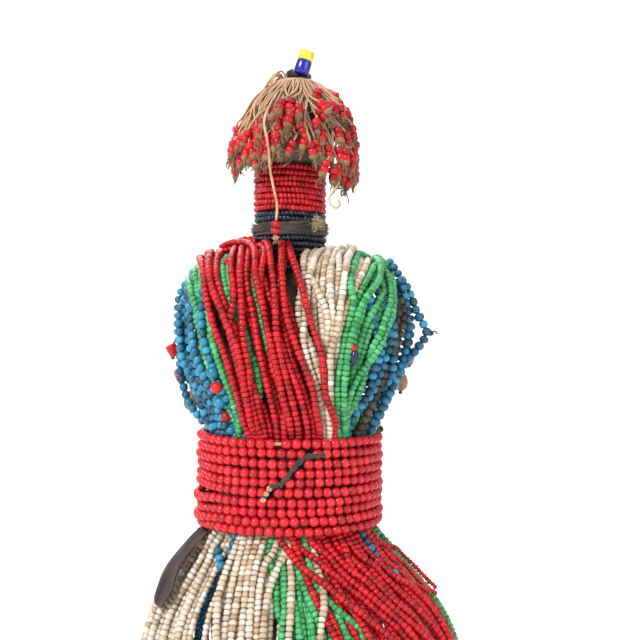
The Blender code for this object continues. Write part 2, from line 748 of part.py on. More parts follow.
# The skirt. Each panel's two edges are angles from the back, in degrees, under the belt and at
# the hem, so that its strings slant as they fall.
SKIRT_PANELS = {
    "skirt_white_left": ((97, 97), (47, 42), "white_bead"),
    "skirt_white_back": ((45, 40), (0, 5), "white_bead"),
    "skirt_green_back": ((-2, 3), (-7, -24), "green_bead"),
    "skirt_red_back": ((-9, -26), (-80, -87), "red_bead"),
    "skirt_green_right": ((-82, -89), (-104, -114), "green_bead"),
    "skirt_blue_front_right": ((-106, -116), (-139, -143), "blue_bead"),
    "skirt_red_front": ((-141, -145), (-178, -176), "red_bead"),
    "skirt_white_front": ((-180, -178), (-218, -214), "white_bead"),
    "skirt_blue_front_left": ((-220, -216), (-261, -261), "blue_bead"),
}
SKIRT_STARTS = BELT_MIDDLE - GAP


def skirt_sizes(level):
    """Half width and half depth of the skirt's outside at a level."""
    flare_start = BELT_BOTTOM - SKIRT_TOP / 2
    fall = flare_start - SKIRT_HEM_HEIGHT
    places = tuple(flare_start - share * fall for share in (1.0, 0.82, 0.64, 0.48, 0.35, 0.18, 0.0))
    inside = (UNDER_BELT_WIDTH + SKIRT_TOP, UNDER_BELT_DEPTH + SKIRT_TOP)
    shares = (0.97, 1.0, 0.98, 0.88, 0.72, 0.38, 0.0)
    sizes = []
    for start, full in zip(inside, (SKIRT_HALF_WIDTH, SKIRT_HALF_DEPTH)):
        values = [start + share * (full - start) for share in shares]
        sizes.append(float(smooth_curve(level, places, values)))
    return sizes


def skirt_sway(level):
    """How far the skirt's middle has swung towards -X at a level."""
    return SKIRT_SWAY * min(1.0, max(0.0, (BELT_BOTTOM - level) / (0.4 * BELT_BOTTOM))) ** 1.5


def skirt_panel(name):
    (left_top, left_hem), (right_top, right_hem), finish = SKIRT_PANELS[name]
    stations = 7
    flare_start = BELT_BOTTOM - SKIRT_TOP / 2

    def level_of(k):
        if k == 0:
            return SKIRT_STARTS
        return flare_start + (SKIRT_HEM_HEIGHT - flare_start) * (k - 1) / (stations - 2)

    def hem_wave(u, k):
        """Strings of unlike length: the hem rises and falls a little."""
        return SKIRT_RAGGED * math.sin(9 * u + left_top) if k == stations - 1 else 0.0

    def wall(k):
        share = min(1.0, max(0.0, (flare_start - level_of(k)) / (0.4 * flare_start)))
        return SKIRT_TOP + (SKIRT_THICK - SKIRT_TOP) * share

    def surface(u, k):
        level = level_of(k)
        fallen = max(0.0, (flare_start - level) / (flare_start - SKIRT_HEM_HEIGHT))
        left = left_top + (left_hem - left_top) * fallen
        right = right_top + (right_hem - right_top) * fallen
        wide, deep = skirt_sizes(level)
        x, y = oval(math.radians(left + (right - left) * u), wide - wall(k), deep - wall(k), 2.1)
        return (x - skirt_sway(level), y, level + hem_wave(u, k))

    ridges = 2 if abs(right_top - left_top) < 10 else (3 if abs(right_top - left_top) < 30 else 4)
    return ridged_slab(name, surface, stations, ridges, wall, finish)


def leather_strap():
    """A dark strap hanging from the belt over the strings on the doll's left."""
    steps = 9
    outer, inner = [], []
    for k in range(steps):
        share = k / (steps - 1)
        level = BELT_BOTTOM - 3 * GAP - STRAP_LENGTH * share
        wide, deep = skirt_sizes(level)
        stand = STRAP_STAND * (1 + 2.2 * math.sin(math.pi * share) ** 0.5)
        middle = 72 + 3 * share + 3 * math.sin(5.5 * share)
        half = math.degrees(STRAP_WIDTH / 2 / wide) * (0.72 + 0.45 * math.sin(0.2 + 2.6 * share))
        rows = ([], [])
        for j in range(3):
            angle = math.radians(middle + (j - 1) * half)
            for row, lift in zip(rows, (stand + STRAP_THICKNESS, stand)):
                x, y = oval(angle, wide + lift, deep + lift, 2.1)
                row.append((x - skirt_sway(level), y, level))
        outer.append(rows[0])
        inner.append(rows[1][::2])
    return slab("leather_strap", outer, inner, "leather")


# The head's fringe and topknot


FRINGE_TOP = CROWN + FRINGE_OVER_CROWN
FRINGE_BREAK = JAW + HEAD_RINGS[3][0] * HEAD_HEIGHT  # the beads on the cords begin here


def fringe_radius(level):
    """The inside of the fringe: it lies on the head, then hangs clear and turns in again."""
    share = (level - JAW) / HEAD_HEIGHT
    reach = [max(ring[1] * HEAD_HALF_WIDTH, ring[2] * HEAD_HALF_DEPTH) for ring in HEAD_RINGS]
    on_head = float(np.interp(share, [ring[0] for ring in HEAD_RINGS], reach))
    on_head += LOOSE + HEAD_LEAN + head_centre(level)[0]
    wide = FRINGE_HALF_WIDTH - FRINGE_BEADS
    places = (-0.42, -0.26, -0.05, 0.10, 0.30, 0.62, 0.80)
    hanging = float(smooth_curve(share, places, (0.9, 0.98, 1.0, 0.98, 0.92, 0.75, 0.3))) * wide
    return max(on_head, hanging, KNOB_RADIUS + LOOSE)


def fringe_point(angle, level, wall):
    radius = fringe_radius(level) + wall
    return (radius * math.sin(angle) - HEAD_LEAN, radius * math.cos(angle), level)


def fringe_hem(angle):
    """Level of the hem: low at the back and sides, short over the face."""
    back = min(1.0, max(0.0, 0.72 + 0.72 * math.cos(angle))) ** 0.8
    return JAW - FRINGE_HEM_BACK * back + FRINGE_HEM_FRONT * (1 - back)


def fringe():
    """Cords from the crown, one ridge a lock, and the beads on their ends in a ring below."""
    columns = 2 * FRINGE_LOCKS
    angles = [2 * math.pi * i / columns for i in range(columns)]
    levels = [JAW + ring[0] * HEAD_HEIGHT for ring in HEAD_RINGS[3:]] + [FRINGE_TOP]
    outer, inner = [], []
    for level in levels:
        ridge = FRINGE_CORD * (1.0 if level == FRINGE_TOP else 1.25)
        walls = [ridge * (1.0 if i % 2 else 0.6) for i in range(columns)]
        outer.append([fringe_point(a, level, wall) for a, wall in zip(angles, walls)])
        lower = level - (FRINGE_OVER_CROWN / 2 if level == FRINGE_TOP else 0)
        inner.append([(*fringe_point(a, level, 0.0)[:2], lower) for a in angles])
    sleeve("fringe_cords", outer, inner, "fibre")
    outer, inner = [], []
    start = FRINGE_BREAK - GAP
    lumps = (0.55, 0.95, 0.72, 1.0, 0.8, 0.45)
    for k, lump in enumerate(lumps):
        share = k / (len(lumps) - 1)
        row, inside = [], []
        for i, angle in enumerate(angles):
            length = (1.0 if i % 2 else 0.8) * (1 + 0.08 * math.sin(3.7 * i))
            level = start - (start - fringe_hem(angle)) * share * length
            wall = FRINGE_BEADS * lump * (1.0 if i % 2 else 0.62) * (1 + 0.12 * math.sin(5.3 * i + 2 * k))
            wall *= 1 - 0.45 * max(0.0, math.sin(angle)) * (1 - share)
            row.append(fringe_point(angle, level, wall))
            inside.append(fringe_point(angle, level, 0.0))
        outer.append(row)
        if k in (0, 2, 5):
            inner.append(inside)
    sleeve("fringe_beads", list(reversed(outer)), list(reversed(inner)), "red_bead")


def turned(name, origin, lean, profile, sides, finish, toward=(-1.0, 0.0)):
    """A turned piece of (radius, height) rings on an axis that leans by some degrees."""
    lean = math.radians(lean)
    axis = np.array([toward[0] * math.sin(lean), toward[1] * math.sin(lean), math.cos(lean)])
    across = np.array([toward[0] * math.cos(lean), toward[1] * math.cos(lean), -math.sin(lean)])
    third = np.cross(axis, across)
    rings = []
    for radius, height in profile:
        ring = []
        for i in range(sides):
            angle = 2 * math.pi * i / sides
            spread = across * math.cos(angle) + third * math.sin(angle)
            ring.append(tuple(np.array(origin) + axis * height + spread * radius))
        rings.append(ring)
    made = loft(name, rings, finish)
    return made, np.array(origin), axis


def round_ended(radius, low, high):
    edge = 0.2 * radius
    return ((radius - edge, low), (radius, low + edge), (radius, high - edge), (radius - edge, high))


def topknot():
    """A leaning knob of resin on the crown, a tall stack of two beads and a small one in front."""
    sides = 12
    crown_x = head_centre(CROWN)[0]
    low = CROWN + GAP
    wide = KNOB_RADIUS
    rings = (
        (low, 0.78 * wide, 0.0, 0.0),
        (FRINGE_TOP, 0.88 * wide, 0.0, 0.0),
        (FRINGE_TOP + 0.35 * (KNOB_HEIGHT - FRINGE_OVER_CROWN), wide, -0.31 * wide, -0.55 * wide),
        (low + KNOB_HEIGHT, 0.5 * wide, -0.45 * wide, -0.62 * wide),
    )
    knob = [oval_ring(z, r, r, sides, centre=(crown_x + x, y)) for z, r, x, y in rings]
    loft("topknot_knob", knob, "resin")
    beside = 0.45 * wide + TOP_BEAD_RADIUS + GAP
    ahead = 1.55 * wide + 0.7 * TOP_BEAD_RADIUS + 2 * GAP
    tall = (-0.43 * wide, beside, FRINGE_TOP + GAP)
    small = (0.17 * wide, -ahead, FRINGE_TOP - 2 * GAP)
    stacks = (("back", tall, TOP_LEAN, (-1.0, 0.0), 1.0), ("front", small, 30, (0.0, -1.0), 0.7))
    for name, (x, y, z), lean, toward, size in stacks:
        radius = TOP_BEAD_RADIUS * size
        origin = (crown_x + x, y, z + math.sin(math.radians(lean)) * radius)
        blue = round_ended(radius, 0.0, BLUE_BEAD_LENGTH * size)
        turned(f"topknot_blue_{name}", origin, lean, blue, 10, "royal_bead", toward)
        start = BLUE_BEAD_LENGTH * size + GAP
        end = start + YELLOW_BEAD_LENGTH * size
        yellow = (*round_ended(radius, start, end), (0.35 * radius, end + 0.14 * radius))
        turned(f"topknot_yellow_{name}", origin, lean, yellow, 10, "yellow_bead", toward)


# Beads, nuts and one loose string that hang at the doll's sides


def side_point(side, angle, share, clear):
    """A point beyond the blue strings, share of the way from the belt up to the elbow."""
    level = BELT_TOP + share * (DRAPE_WIDEST - BELT_TOP)
    reach = drape_reach(math.radians(angle), level) + BLUE_BUNDLE + clear
    return (side * reach * math.sin(math.radians(angle)), reach * math.cos(math.radians(angle)), level)


def pendant(name, side, angle, share, clear, size, sides, finish):
    """A lump beyond the blue strings, at an angle from the back."""
    width, height = size
    profile = (
        (0.30 * width, -0.50 * height),
        (0.46 * width, -0.30 * height),
        (0.50 * width, 0.05 * height),
        (0.40 * width, 0.35 * height),
        (0.18 * width, 0.50 * height),
    )
    origin = side_point(side, angle, share, clear + width / 2)
    turned(name, origin, 0, profile, sides, finish)


def pendants():
    bead = (PENDANT_BEAD, 1.15 * PENDANT_BEAD)
    nut = (PENDANT_NUT, 1.38 * PENDANT_NUT)
    close = 5 * GAP
    pendant("pendant_red_upper_left", 1, 97, 0.94, close, bead, 6, "red_bead")
    pendant("pendant_red_lower_left", 1, 99, 0.64, close, bead, 6, "red_bead")
    pendant("pendant_nut_left", 1, 98, 0.34, close, nut, 8, "nut")
    pendant("pendant_nut_right", -1, 99, 0.57, close, nut, 8, "nut")
    pendant("pendant_red_right", -1, 100, 0.84, PENDANT_NUT / 2, bead, 6, "red_bead")


def loose_string():
    """One blue string that stands out in a loop from the doll's right shoulder to the belt."""
    radius = LOOSE_STRING_RADIUS
    close = radius + 2 * GAP
    levels, angles = edge_angles("sash_green_right", "back", 1)
    under_bundle = float(np.interp(math.radians(LOOSE_STRING_ANGLE), angles, levels))
    low = 0.12
    high = (under_bundle - radius - 2 * LOOSE - BELT_TOP) / (DRAPE_WIDEST - BELT_TOP)
    # shares of the string's own rise, and of LOOP_OUT at each
    rises = (0.0, 0.12, 0.28, 0.44, 0.55, 0.64, 0.77, 0.90, 1.0)
    outs = (0.02, 0.18, 0.38, 0.64, 0.86, 0.72, 0.42, 0.22, 0.12)
    steps = 15
    path = []
    for k in range(steps):
        rise = k / (steps - 1)
        out = LOOP_OUT * float(smooth_curve(rise, rises, outs))
        path.append(side_point(-1, LOOSE_STRING_ANGLE, low + (high - low) * rise, close + out))
    tube("loose_string_right", path, [radius] * len(path), 6, "blue_bead")


def main():
    clear_scene()
    figure()
    neck_windings()
    belt()
    belt_tie()
    for name in BUNDLES:
        sash(name)
    side_bundle("side_strings_left", 1, "sash_green_left", 0)
    side_bundle("side_strings_right", -1, "sash_green_right", 1)
    for name in SKIRT_PANELS:
        skirt_panel(name)
    leather_strap()
    fringe()
    topknot()
    pendants()
    loose_string()


main()
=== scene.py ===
# Looks of the beaded doll: strung beads, cords, carved wood, leather and resin.
# Metres, +Z up. The doll faces -Y; the camera looks at its back.
import math

import bmesh
import bpy
import numpy as np
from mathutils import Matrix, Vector
from mathutils.noise import turbulence


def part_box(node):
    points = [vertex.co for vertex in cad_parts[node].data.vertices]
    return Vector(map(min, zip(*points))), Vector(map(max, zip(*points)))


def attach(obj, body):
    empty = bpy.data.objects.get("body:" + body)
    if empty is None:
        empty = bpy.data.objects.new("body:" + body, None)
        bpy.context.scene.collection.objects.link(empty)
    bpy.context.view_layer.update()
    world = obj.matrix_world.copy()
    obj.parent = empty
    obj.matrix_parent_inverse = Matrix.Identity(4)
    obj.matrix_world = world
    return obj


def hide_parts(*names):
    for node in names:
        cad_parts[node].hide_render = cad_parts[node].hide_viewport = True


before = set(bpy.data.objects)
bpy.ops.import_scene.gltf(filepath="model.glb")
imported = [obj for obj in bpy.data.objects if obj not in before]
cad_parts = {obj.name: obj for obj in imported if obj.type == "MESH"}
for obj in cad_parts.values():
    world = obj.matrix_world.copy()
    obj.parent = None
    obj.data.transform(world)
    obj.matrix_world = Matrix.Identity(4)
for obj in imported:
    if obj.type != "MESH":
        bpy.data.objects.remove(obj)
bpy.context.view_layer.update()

MM = 0.001
dice = np.random.default_rng(11)

# Levels and sizes of the frame, from its own solids
BELT_LOW, BELT_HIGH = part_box("belt_red")
BELT_BOTTOM, BELT_TOP = BELT_LOW[2], BELT_HIGH[2]
BELT_ROWS = 10
BELT_BEAD = (BELT_TOP - BELT_BOTTOM) / BELT_ROWS
BELT_WIDE = BELT_HIGH[0] - BELT_BEAD / 2
BELT_DEEP = BELT_HIGH[1] - BELT_BEAD / 2
WAIST_INSET = 5.2 * MM  # from the belt's inner side in to the waist
WAIST_WIDE = BELT_HIGH[0] - BELT_BEAD - WAIST_INSET
WAIST_DEEP = BELT_HIGH[1] - BELT_BEAD - WAIST_INSET
TUCK_START = BELT_TOP + 0.8 * MM
DRAPE_WIDEST = 213.5 * MM
DRAPE_TOP = 253.5 * MM
DRAPE_HALF_WIDTH = 46.5 * MM
DRAPE_BACK = 34.5 * MM
DRAPE_FRONT = 29 * MM
SKIRT_HEM = 37 * MM
SKIRT_WIDE = 73 * MM
SKIRT_DEEP = 64 * MM
SKIRT_SWAY = 4.5 * MM
SKIRT_OUT = 4.2 * MM  # the skirt's top beyond the waist
SKIRT_WALL = 5.0 * MM  # from the skirt's outside in to the surface that its strings lie on
# Powers of the rounded outlines: 2 is an ellipse and more is squarer
SHOULDER_POWER = 3.5
DEPTH_POWER = 2.2
SKIRT_POWER = 2.1
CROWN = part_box("figure")[1][2]
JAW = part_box("neck_collar_red")[1][2] + 0.3 * MM
HEAD_X = -2.5 * MM

SEED_WIDTH = 3.15 * MM
SEED_LENGTH = 2.25 * MM

# The photograph's camera: level, behind the doll
VIEW_SCALE = 0.00045
VIEW_DISTANCE = 0.452
VIEW_HEIGHT = 0.225
VIEW_AXIS = (290, 320)


def seen_at(px, py, y):
    """The point at depth y that is seen at a place in the photograph's 640 by 640 picture."""
    scale = VIEW_SCALE * (VIEW_DISTANCE - y) / VIEW_DISTANCE
    return (VIEW_AXIS[0] - px) * scale, VIEW_HEIGHT - (py - VIEW_AXIS[1]) * scale


def smooth_curve(at, places, values):
    """A smooth curve through a few values, level beyond the first and last."""
    at = np.clip(np.asarray(at, float), places[0], places[-1])
    places, values = np.asarray(places, float), np.asarray(values, float)
    slopes = np.gradient(values, places, axis=0)
    k = np.clip(np.searchsorted(places, at, side="right") - 1, 0, len(places) - 2)
    span = places[k + 1] - places[k]
    t = (at - places[k]) / span
    if values.ndim > 1:
        t, span = t[..., None], span[..., None]
    return (
        (1 + 2 * t) * (1 - t) ** 2 * values[k]
        + t * (1 - t) ** 2 * span * slopes[k]
        + t * t * (3 - 2 * t) * values[k + 1]
        + t * t * (t - 1) * span * slopes[k + 1]
    )


def distance_along(points):
    """How far along a line each of its points lies."""
    return np.concatenate([[0.0], np.cumsum(np.linalg.norm(np.diff(points, axis=0), axis=1))])


def even_steps(points, step):
    """The same line with points a step apart."""
    points = np.asarray(points, float)
    along = distance_along(points)
    count = max(2, int(round(along[-1] / step)) + 1)
    at = np.linspace(0, along[-1], count)
    return np.stack([np.interp(at, along, points[:, i]) for i in range(3)], axis=1)


def smooth_line(points, count=40):
    """A smooth line through a few points."""
    points = np.asarray(points, float)
    along = distance_along(points)
    return smooth_curve(np.linspace(0, along[-1], count), along, points)


# Meshes


def tube_faces(rows, sides):
    """Faces between rings of points, with a cap at each end."""
    faces = []
    for k in range(rows - 1):
        for i in range(sides):
            j = (i + 1) % sides
            faces.append((k * sides + i, k * sides + j, (k + 1) * sides + j, (k + 1) * sides + i))
    faces.append(tuple(reversed(range(sides))))
    faces.append(tuple(range((rows - 1) * sides, rows * sides)))
    return faces


def mesh_object(name, points, faces, material=None, flat=0, **values):
    """A smooth mesh but for the last flat faces. values are its points' attributes."""
    mesh = bpy.data.meshes.new(name)
    mesh.from_pydata(points, [], faces)
    mesh.polygons.foreach_set("use_smooth", [True] * (len(faces) - flat) + [False] * flat)
    for key, each in values.items():
        mesh.attributes.new(key, "FLOAT", "POINT").data.foreach_set("value", each)
    if material:
        mesh.materials.append(material)
    mesh.update()
    made = bpy.data.objects.new(name, mesh)
    bpy.context.collection.objects.link(made)
    return made


# The drape: the surface that the shoulder strings lie on


def drape_measures(level, back):
    depth = np.where(back, DRAPE_BACK, DRAPE_FRONT)
    places = TUCK_START + (DRAPE_WIDEST - TUCK_START) * np.array((0.0, 0.22, 0.5, 1.0))
    share = smooth_curve(level, places, (0.0, 0.14, 0.6, 1.0))
    wide = WAIST_WIDE + (DRAPE_HALF_WIDTH - WAIST_WIDE) * share
    deep_share = smooth_curve(level, places, (0.0, 0.2, 0.7, 1.0))
    deep = WAIST_DEEP + (depth - WAIST_DEEP) * deep_share
    power = smooth_curve(level, places, (2.1, 2.2, 2.7, SHOULDER_POWER))
    return wide, deep, power


def drape_top(x):
    left = 1 - np.minimum(1, np.abs(x) / DRAPE_HALF_WIDTH) ** SHOULDER_POWER
    return DRAPE_WIDEST + (DRAPE_TOP - DRAPE_WIDEST) * left ** (1 / SHOULDER_POWER)


def drape_depth(x, level, back):
    wide, deep, power = drape_measures(np.minimum(level, DRAPE_WIDEST), back)
    above = np.maximum(0.0, (level - DRAPE_WIDEST) / (DRAPE_TOP - DRAPE_WIDEST))
    left = 1 - np.minimum(1, np.abs(x) / wide) ** power - above**SHOULDER_POWER
    return deep * np.maximum(0.0, left) ** (1 / DEPTH_POWER)


def drape_field(p):
    """Above 0 outside the drape, below 0 inside."""
    x, y, z = p[:, 0], p[:, 1], p[:, 2]
    wide, deep, power = drape_measures(np.minimum(z, DRAPE_WIDEST), y >= 0)
    above = np.maximum(0.0, (z - DRAPE_WIDEST) / (DRAPE_TOP - DRAPE_WIDEST))
    return np.abs(x / wide) ** power + above**SHOULDER_POWER + np.abs(y / deep) ** DEPTH_POWER - 1


def skirt_measures(level):
    """Half width, half depth and sway of the skirt's outside."""
    start = BELT_BOTTOM - 2.1 * MM
    fall = start - SKIRT_HEM
    places = start - fall * np.array((1.0, 0.82, 0.64, 0.48, 0.35, 0.18, 0.0))
    share = smooth_curve(level, places, (0.97, 1.0, 0.98, 0.88, 0.72, 0.38, 0.0))
    wide = WAIST_WIDE + SKIRT_OUT + share * (SKIRT_WIDE - WAIST_WIDE - SKIRT_OUT)
    deep = WAIST_DEEP + SKIRT_OUT + share * (SKIRT_DEEP - WAIST_DEEP - SKIRT_OUT)
    fallen = np.clip((BELT_BOTTOM - level) / (0.4 * BELT_BOTTOM), 0, 1)
    return wide, deep, SKIRT_SWAY * fallen**1.5


def skirt_field(p):
    wide, deep, sway = skirt_measures(p[:, 2])
    x, y = (p[:, 0] + sway) / (wide - SKIRT_WALL), p[:, 1] / (deep - SKIRT_WALL)
    return np.abs(x) ** SKIRT_POWER + np.abs(y) ** SKIRT_POWER - 1


def skirt_reach(turn, wide, deep):
    """How far the surface of the skirt's strings reaches at angles from the back."""
    across = np.abs(np.sin(turn) / (wide - SKIRT_WALL)) ** SKIRT_POWER
    return (across + np.abs(np.cos(turn) / (deep - SKIRT_WALL)) ** SKIRT_POWER) ** (-1 / SKIRT_POWER)


def off_surface(field, points):
    """Distance from a field's surface and the direction out of it."""
    step = 0.05 * MM
    base = field(points)
    slope = np.zeros_like(points)
    for axis in range(3):
        moved = points.copy()
        moved[:, axis] += step
        slope[:, axis] = (field(moved) - base) / step
    size = np.maximum(np.linalg.norm(slope, axis=1), 1.0)
    return base / size, slope / size[:, None]


def close_pairs(points, reach):
    """Indices of all pairs of points in the same or touching cells of a grid."""
    cell = np.floor((points - points.min(axis=0)) / reach).astype(np.int64) + 1
    size = cell.max(axis=0) + 2
    key = (cell[:, 0] * size[1] + cell[:, 1]) * size[2] + cell[:, 2]
    order = np.argsort(key, kind="stable")
    ranked = key[order]
    ahead = [(0, 0, 0), (0, 0, 1), (0, 1, -1), (0, 1, 0), (0, 1, 1)]
    ahead += [(1, a, b) for a in (-1, 0, 1) for b in (-1, 0, 1)]
    firsts, seconds = [], []
    for a, b, c in ahead:
        other = key + (a * size[1] + b) * size[2] + c
        low = np.searchsorted(ranked, other, "left")
        counts = np.searchsorted(ranked, other, "right") - low
        first = np.repeat(np.arange(len(points)), counts)
        within = np.arange(counts.sum()) - np.repeat(np.cumsum(counts) - counts, counts)
        second = order[np.repeat(low, counts) + within]
        if (a, b, c) == (0, 0, 0):
            keep = first < second
            first, second = first[keep], second[keep]
        firsts.append(first)
        seconds.append(second)
    return np.concatenate(firsts), np.concatenate(seconds)


def settle(lines, radii, field, rounds=60, pull=0.12, hold=0.03, firm=None):
    """Strings laid on a surface are pushed apart until they lie beside and on each other.

    lines are arrays of points a bead apart, radii one half thickness each. firm gives the
    levels between which the strings come to keep their places, as at the belt.
    """
    points = np.concatenate(lines)
    counts = np.array([len(line) for line in lines])
    string = np.repeat(np.arange(len(lines)), counts)
    starts = np.cumsum(counts) - counts
    place = np.arange(len(points)) - np.repeat(starts, counts)
    radius = np.concatenate([np.broadcast_to(r, n) for r, n in zip(radii, counts)])
    home = points.copy()
    last = place == np.repeat(counts, counts) - 1
    joined = np.nonzero(~last)[0]
    rest = np.linalg.norm(points[joined + 1] - points[joined], axis=1)
    inner = np.nonzero((place > 0) & ~last)[0]
    pinned = (place < 2) | (place >= np.repeat(counts, counts) - 2)
    ease = np.where(pinned, 0.5, hold)[:, None]
    if firm is not None:
        ease = ease + 0.28 * np.clip((firm[0] - home[:, 2:]) / (firm[0] - firm[1]), 0, 1)
    reach = 2.3 * radius.max()
    for turn in range(rounds):
        if turn % 3 == 0:
            first, second = close_pairs(points, reach)
            apart = string[first] != string[second]
            first, second = first[apart], second[apart]
        gap = points[second] - points[first]
        length = np.maximum(np.linalg.norm(gap, axis=1), 1e-7)
        short = radius[first] + radius[second] - length
        near = short > 0
        push = gap[near] / length[near, None] * (0.4 * short[near, None])
        one, two = first[near], second[near]
        touching = np.bincount(one, minlength=len(points)) + np.bincount(two, minlength=len(points))
        for axis in range(3):
            move = np.bincount(two, weights=push[:, axis], minlength=len(points))
            move -= np.bincount(one, weights=push[:, axis], minlength=len(points))
            points[:, axis] += move / np.maximum(1, 0.5 * touching)
        middle = (points[inner - 1] + points[inner + 1]) / 2
        points[inner] += 0.35 * (middle - points[inner])
        for parity in (0, 1):
            here = joined[place[joined] % 2 == parity]
            want = rest[place[joined] % 2 == parity]
            link = points[here + 1] - points[here]
            long = np.maximum(np.linalg.norm(link, axis=1), 1e-7)
            change = link * ((long - want) / long * 0.5)[:, None]
            points[here] += change
            points[here + 1] -= change
        distance, out = off_surface(field, points)
        sunk = np.maximum(0, radius - distance)
        floating = np.maximum(0, distance - radius)
        points += out * (sunk - np.minimum(pull * floating, 0.25 * MM))[:, None]
        points += ease * (home - points)
    return [points[a : a + n] for a, n in zip(starts, counts)]


def tucked(lines, field, top, fade, closest, radii):
    """The strings drawn in to a surface as they come down to a level, to pass under the belt."""
    made = []
    for line, radius in zip(lines, radii):
        distance, out = off_surface(field, line)
        above = np.clip((line[:, 2] - top) / fade, 0, 1)
        allowed = closest - radius + 12 * MM * above**1.5
        made.append(line - out * np.maximum(0, distance - allowed)[:, None])
    return made


# Materials


def new_material(name):
    made = bpy.data.materials.new(name)
    made.use_nodes = True
    nodes = made.node_tree.nodes
    shader = next(n for n in nodes if n.type == "BSDF_PRINCIPLED")
    return made, nodes, made.node_tree.links, shader


def ramp(nodes, links, source, stops):
    """A colour ramp of (place, colour) stops, fed by a socket."""
    made = nodes.new("ShaderNodeValToRGB")
    while len(made.color_ramp.elements) < len(stops):
        made.color_ramp.elements.new(0.5)
    for element, (place, colour) in zip(made.color_ramp.elements, stops):
        element.position = place
        element.color = (*colour, 1.0)
    links.new(source, made.inputs["Fac"])
    return made.outputs["Color"]


def noise(nodes, links, scale, detail=3.0, roughness=0.6, stretch=None, source="Object"):
    """Noise in the piece's own coordinates; scale is in cells a metre."""
    place = nodes.new("ShaderNodeTexCoord").outputs[source]
    if stretch:
        mapping = nodes.new("ShaderNodeMapping")
        mapping.inputs["Scale"].default_value = stretch
        links.new(place, mapping.inputs["Vector"])
        place = mapping.outputs["Vector"]
    made = nodes.new("ShaderNodeTexNoise")
    made.inputs["Scale"].default_value = scale
    made.inputs["Detail"].default_value = detail
    made.inputs["Roughness"].default_value = roughness
    links.new(place, made.inputs["Vector"])
    return made.outputs["Fac"]


def attribute(nodes, name):
    made = nodes.new("ShaderNodeAttribute")
    made.attribute_name = name
    return made.outputs["Fac"]


def mixed(nodes, links, share, one, two, kind="MIX"):
    made = nodes.new("ShaderNodeMix")
    made.data_type = "RGBA"
    made.blend_type = kind
    for socket, value in ((0, share), (6, one), (7, two)):
        if hasattr(value, "is_linked"):
            links.new(value, made.inputs[socket])
        else:
            made.inputs[socket].default_value = value if socket == 0 else (*value, 1.0)
    return made.outputs[2]


def between(nodes, links, source, low, high, to_low=0.0, to_high=1.0):
    made = nodes.new("ShaderNodeMapRange")
    for name, value in (("From Min", low), ("From Max", high), ("To Min", to_low), ("To Max", to_high)):
        made.inputs[name].default_value = value
    links.new(source, made.inputs["Value"])
    return made.outputs["Result"]


def bump(nodes, links, shader, height, distance, strength=1.0):
    made = nodes.new("ShaderNodeBump")
    made.inputs["Distance"].default_value = distance
    made.inputs["Strength"].default_value = strength
    links.new(height, made.inputs["Height"])
    links.new(made.outputs["Normal"], shader.inputs["Normal"])


def bead_material(
    name, shades, dirt_and_shade=(0.03, 0.018, 0.012), rim_dirt_and_shade=0.75, roughness=0.34, speckle=0.25, coat=0.15
):
    """Old opaque glass: each bead its own shade, painted shade and dirt where beads meet, fine pits and
    specks.
    """
    made, nodes, links, shader = new_material(name)
    tint = attribute(nodes, "bead_tint")
    rim = attribute(nodes, "bead_rim")
    colour = ramp(nodes, links, tint, shades)
    fine = noise(nodes, links, 900.0, 4.0, 0.65)
    broad = noise(nodes, links, 70.0, 2.0)
    specks = between(nodes, links, fine, 0.52, 0.72, 0.0, speckle)
    colour = mixed(nodes, links, specks, colour, dirt_and_shade)
    # Painted shade and dirt: each bead's ends, where it meets the next bead, are darkened towards the
    # dirt-and-shade colour, more in some patches than in others.
    worn = between(nodes, links, broad, 0.35, 0.7, 0.25, 1.0)
    ends = between(nodes, links, rim, 0.3, 1.0, 0.0, rim_dirt_and_shade)
    share = nodes.new("ShaderNodeMath")
    share.operation = "MULTIPLY"
    links.new(worn, share.inputs[0])
    links.new(ends, share.inputs[1])
    colour = mixed(nodes, links, share.outputs[0], colour, dirt_and_shade)
    links.new(colour, shader.inputs["Base Color"])
    links.new(
        between(nodes, links, fine, 0.3, 0.8, roughness - 0.08, roughness + 0.3),
        shader.inputs["Roughness"],
    )
    shader.inputs["Specular IOR Level"].default_value = 0.36
    shader.inputs["Coat Weight"].default_value = coat
    shader.inputs["Coat Roughness"].default_value = 0.2
    bump(nodes, links, shader, fine, 0.12 * MM, 0.5)
    return made


def fibre_material(name, dark, light, turns=1400.0, roughness=0.85):
    """Twisted plant fibre: fine slanting strands with a change of colour along the cord."""
    made, nodes, links, shader = new_material(name)
    fine = noise(nodes, links, turns, 3.0, 0.7)
    broad = noise(nodes, links, 90.0, 3.0)
    colour = ramp(nodes, links, broad, ((0.25, dark), (0.65, light)))
    colour = mixed(nodes, links, between(nodes, links, fine, 0.35, 0.7, 0.55, 0.0), colour, dark)
    tint = attribute(nodes, "bead_tint")
    colour = mixed(nodes, links, between(nodes, links, tint, 0.0, 1.0, 0.35, 0.0), colour, dark)
    links.new(colour, shader.inputs["Base Color"])
    shader.inputs["Roughness"].default_value = roughness
    shader.inputs["Sheen Weight"].default_value = 0.25
    bump(nodes, links, shader, fine, 0.25 * MM, 0.8)
    return made
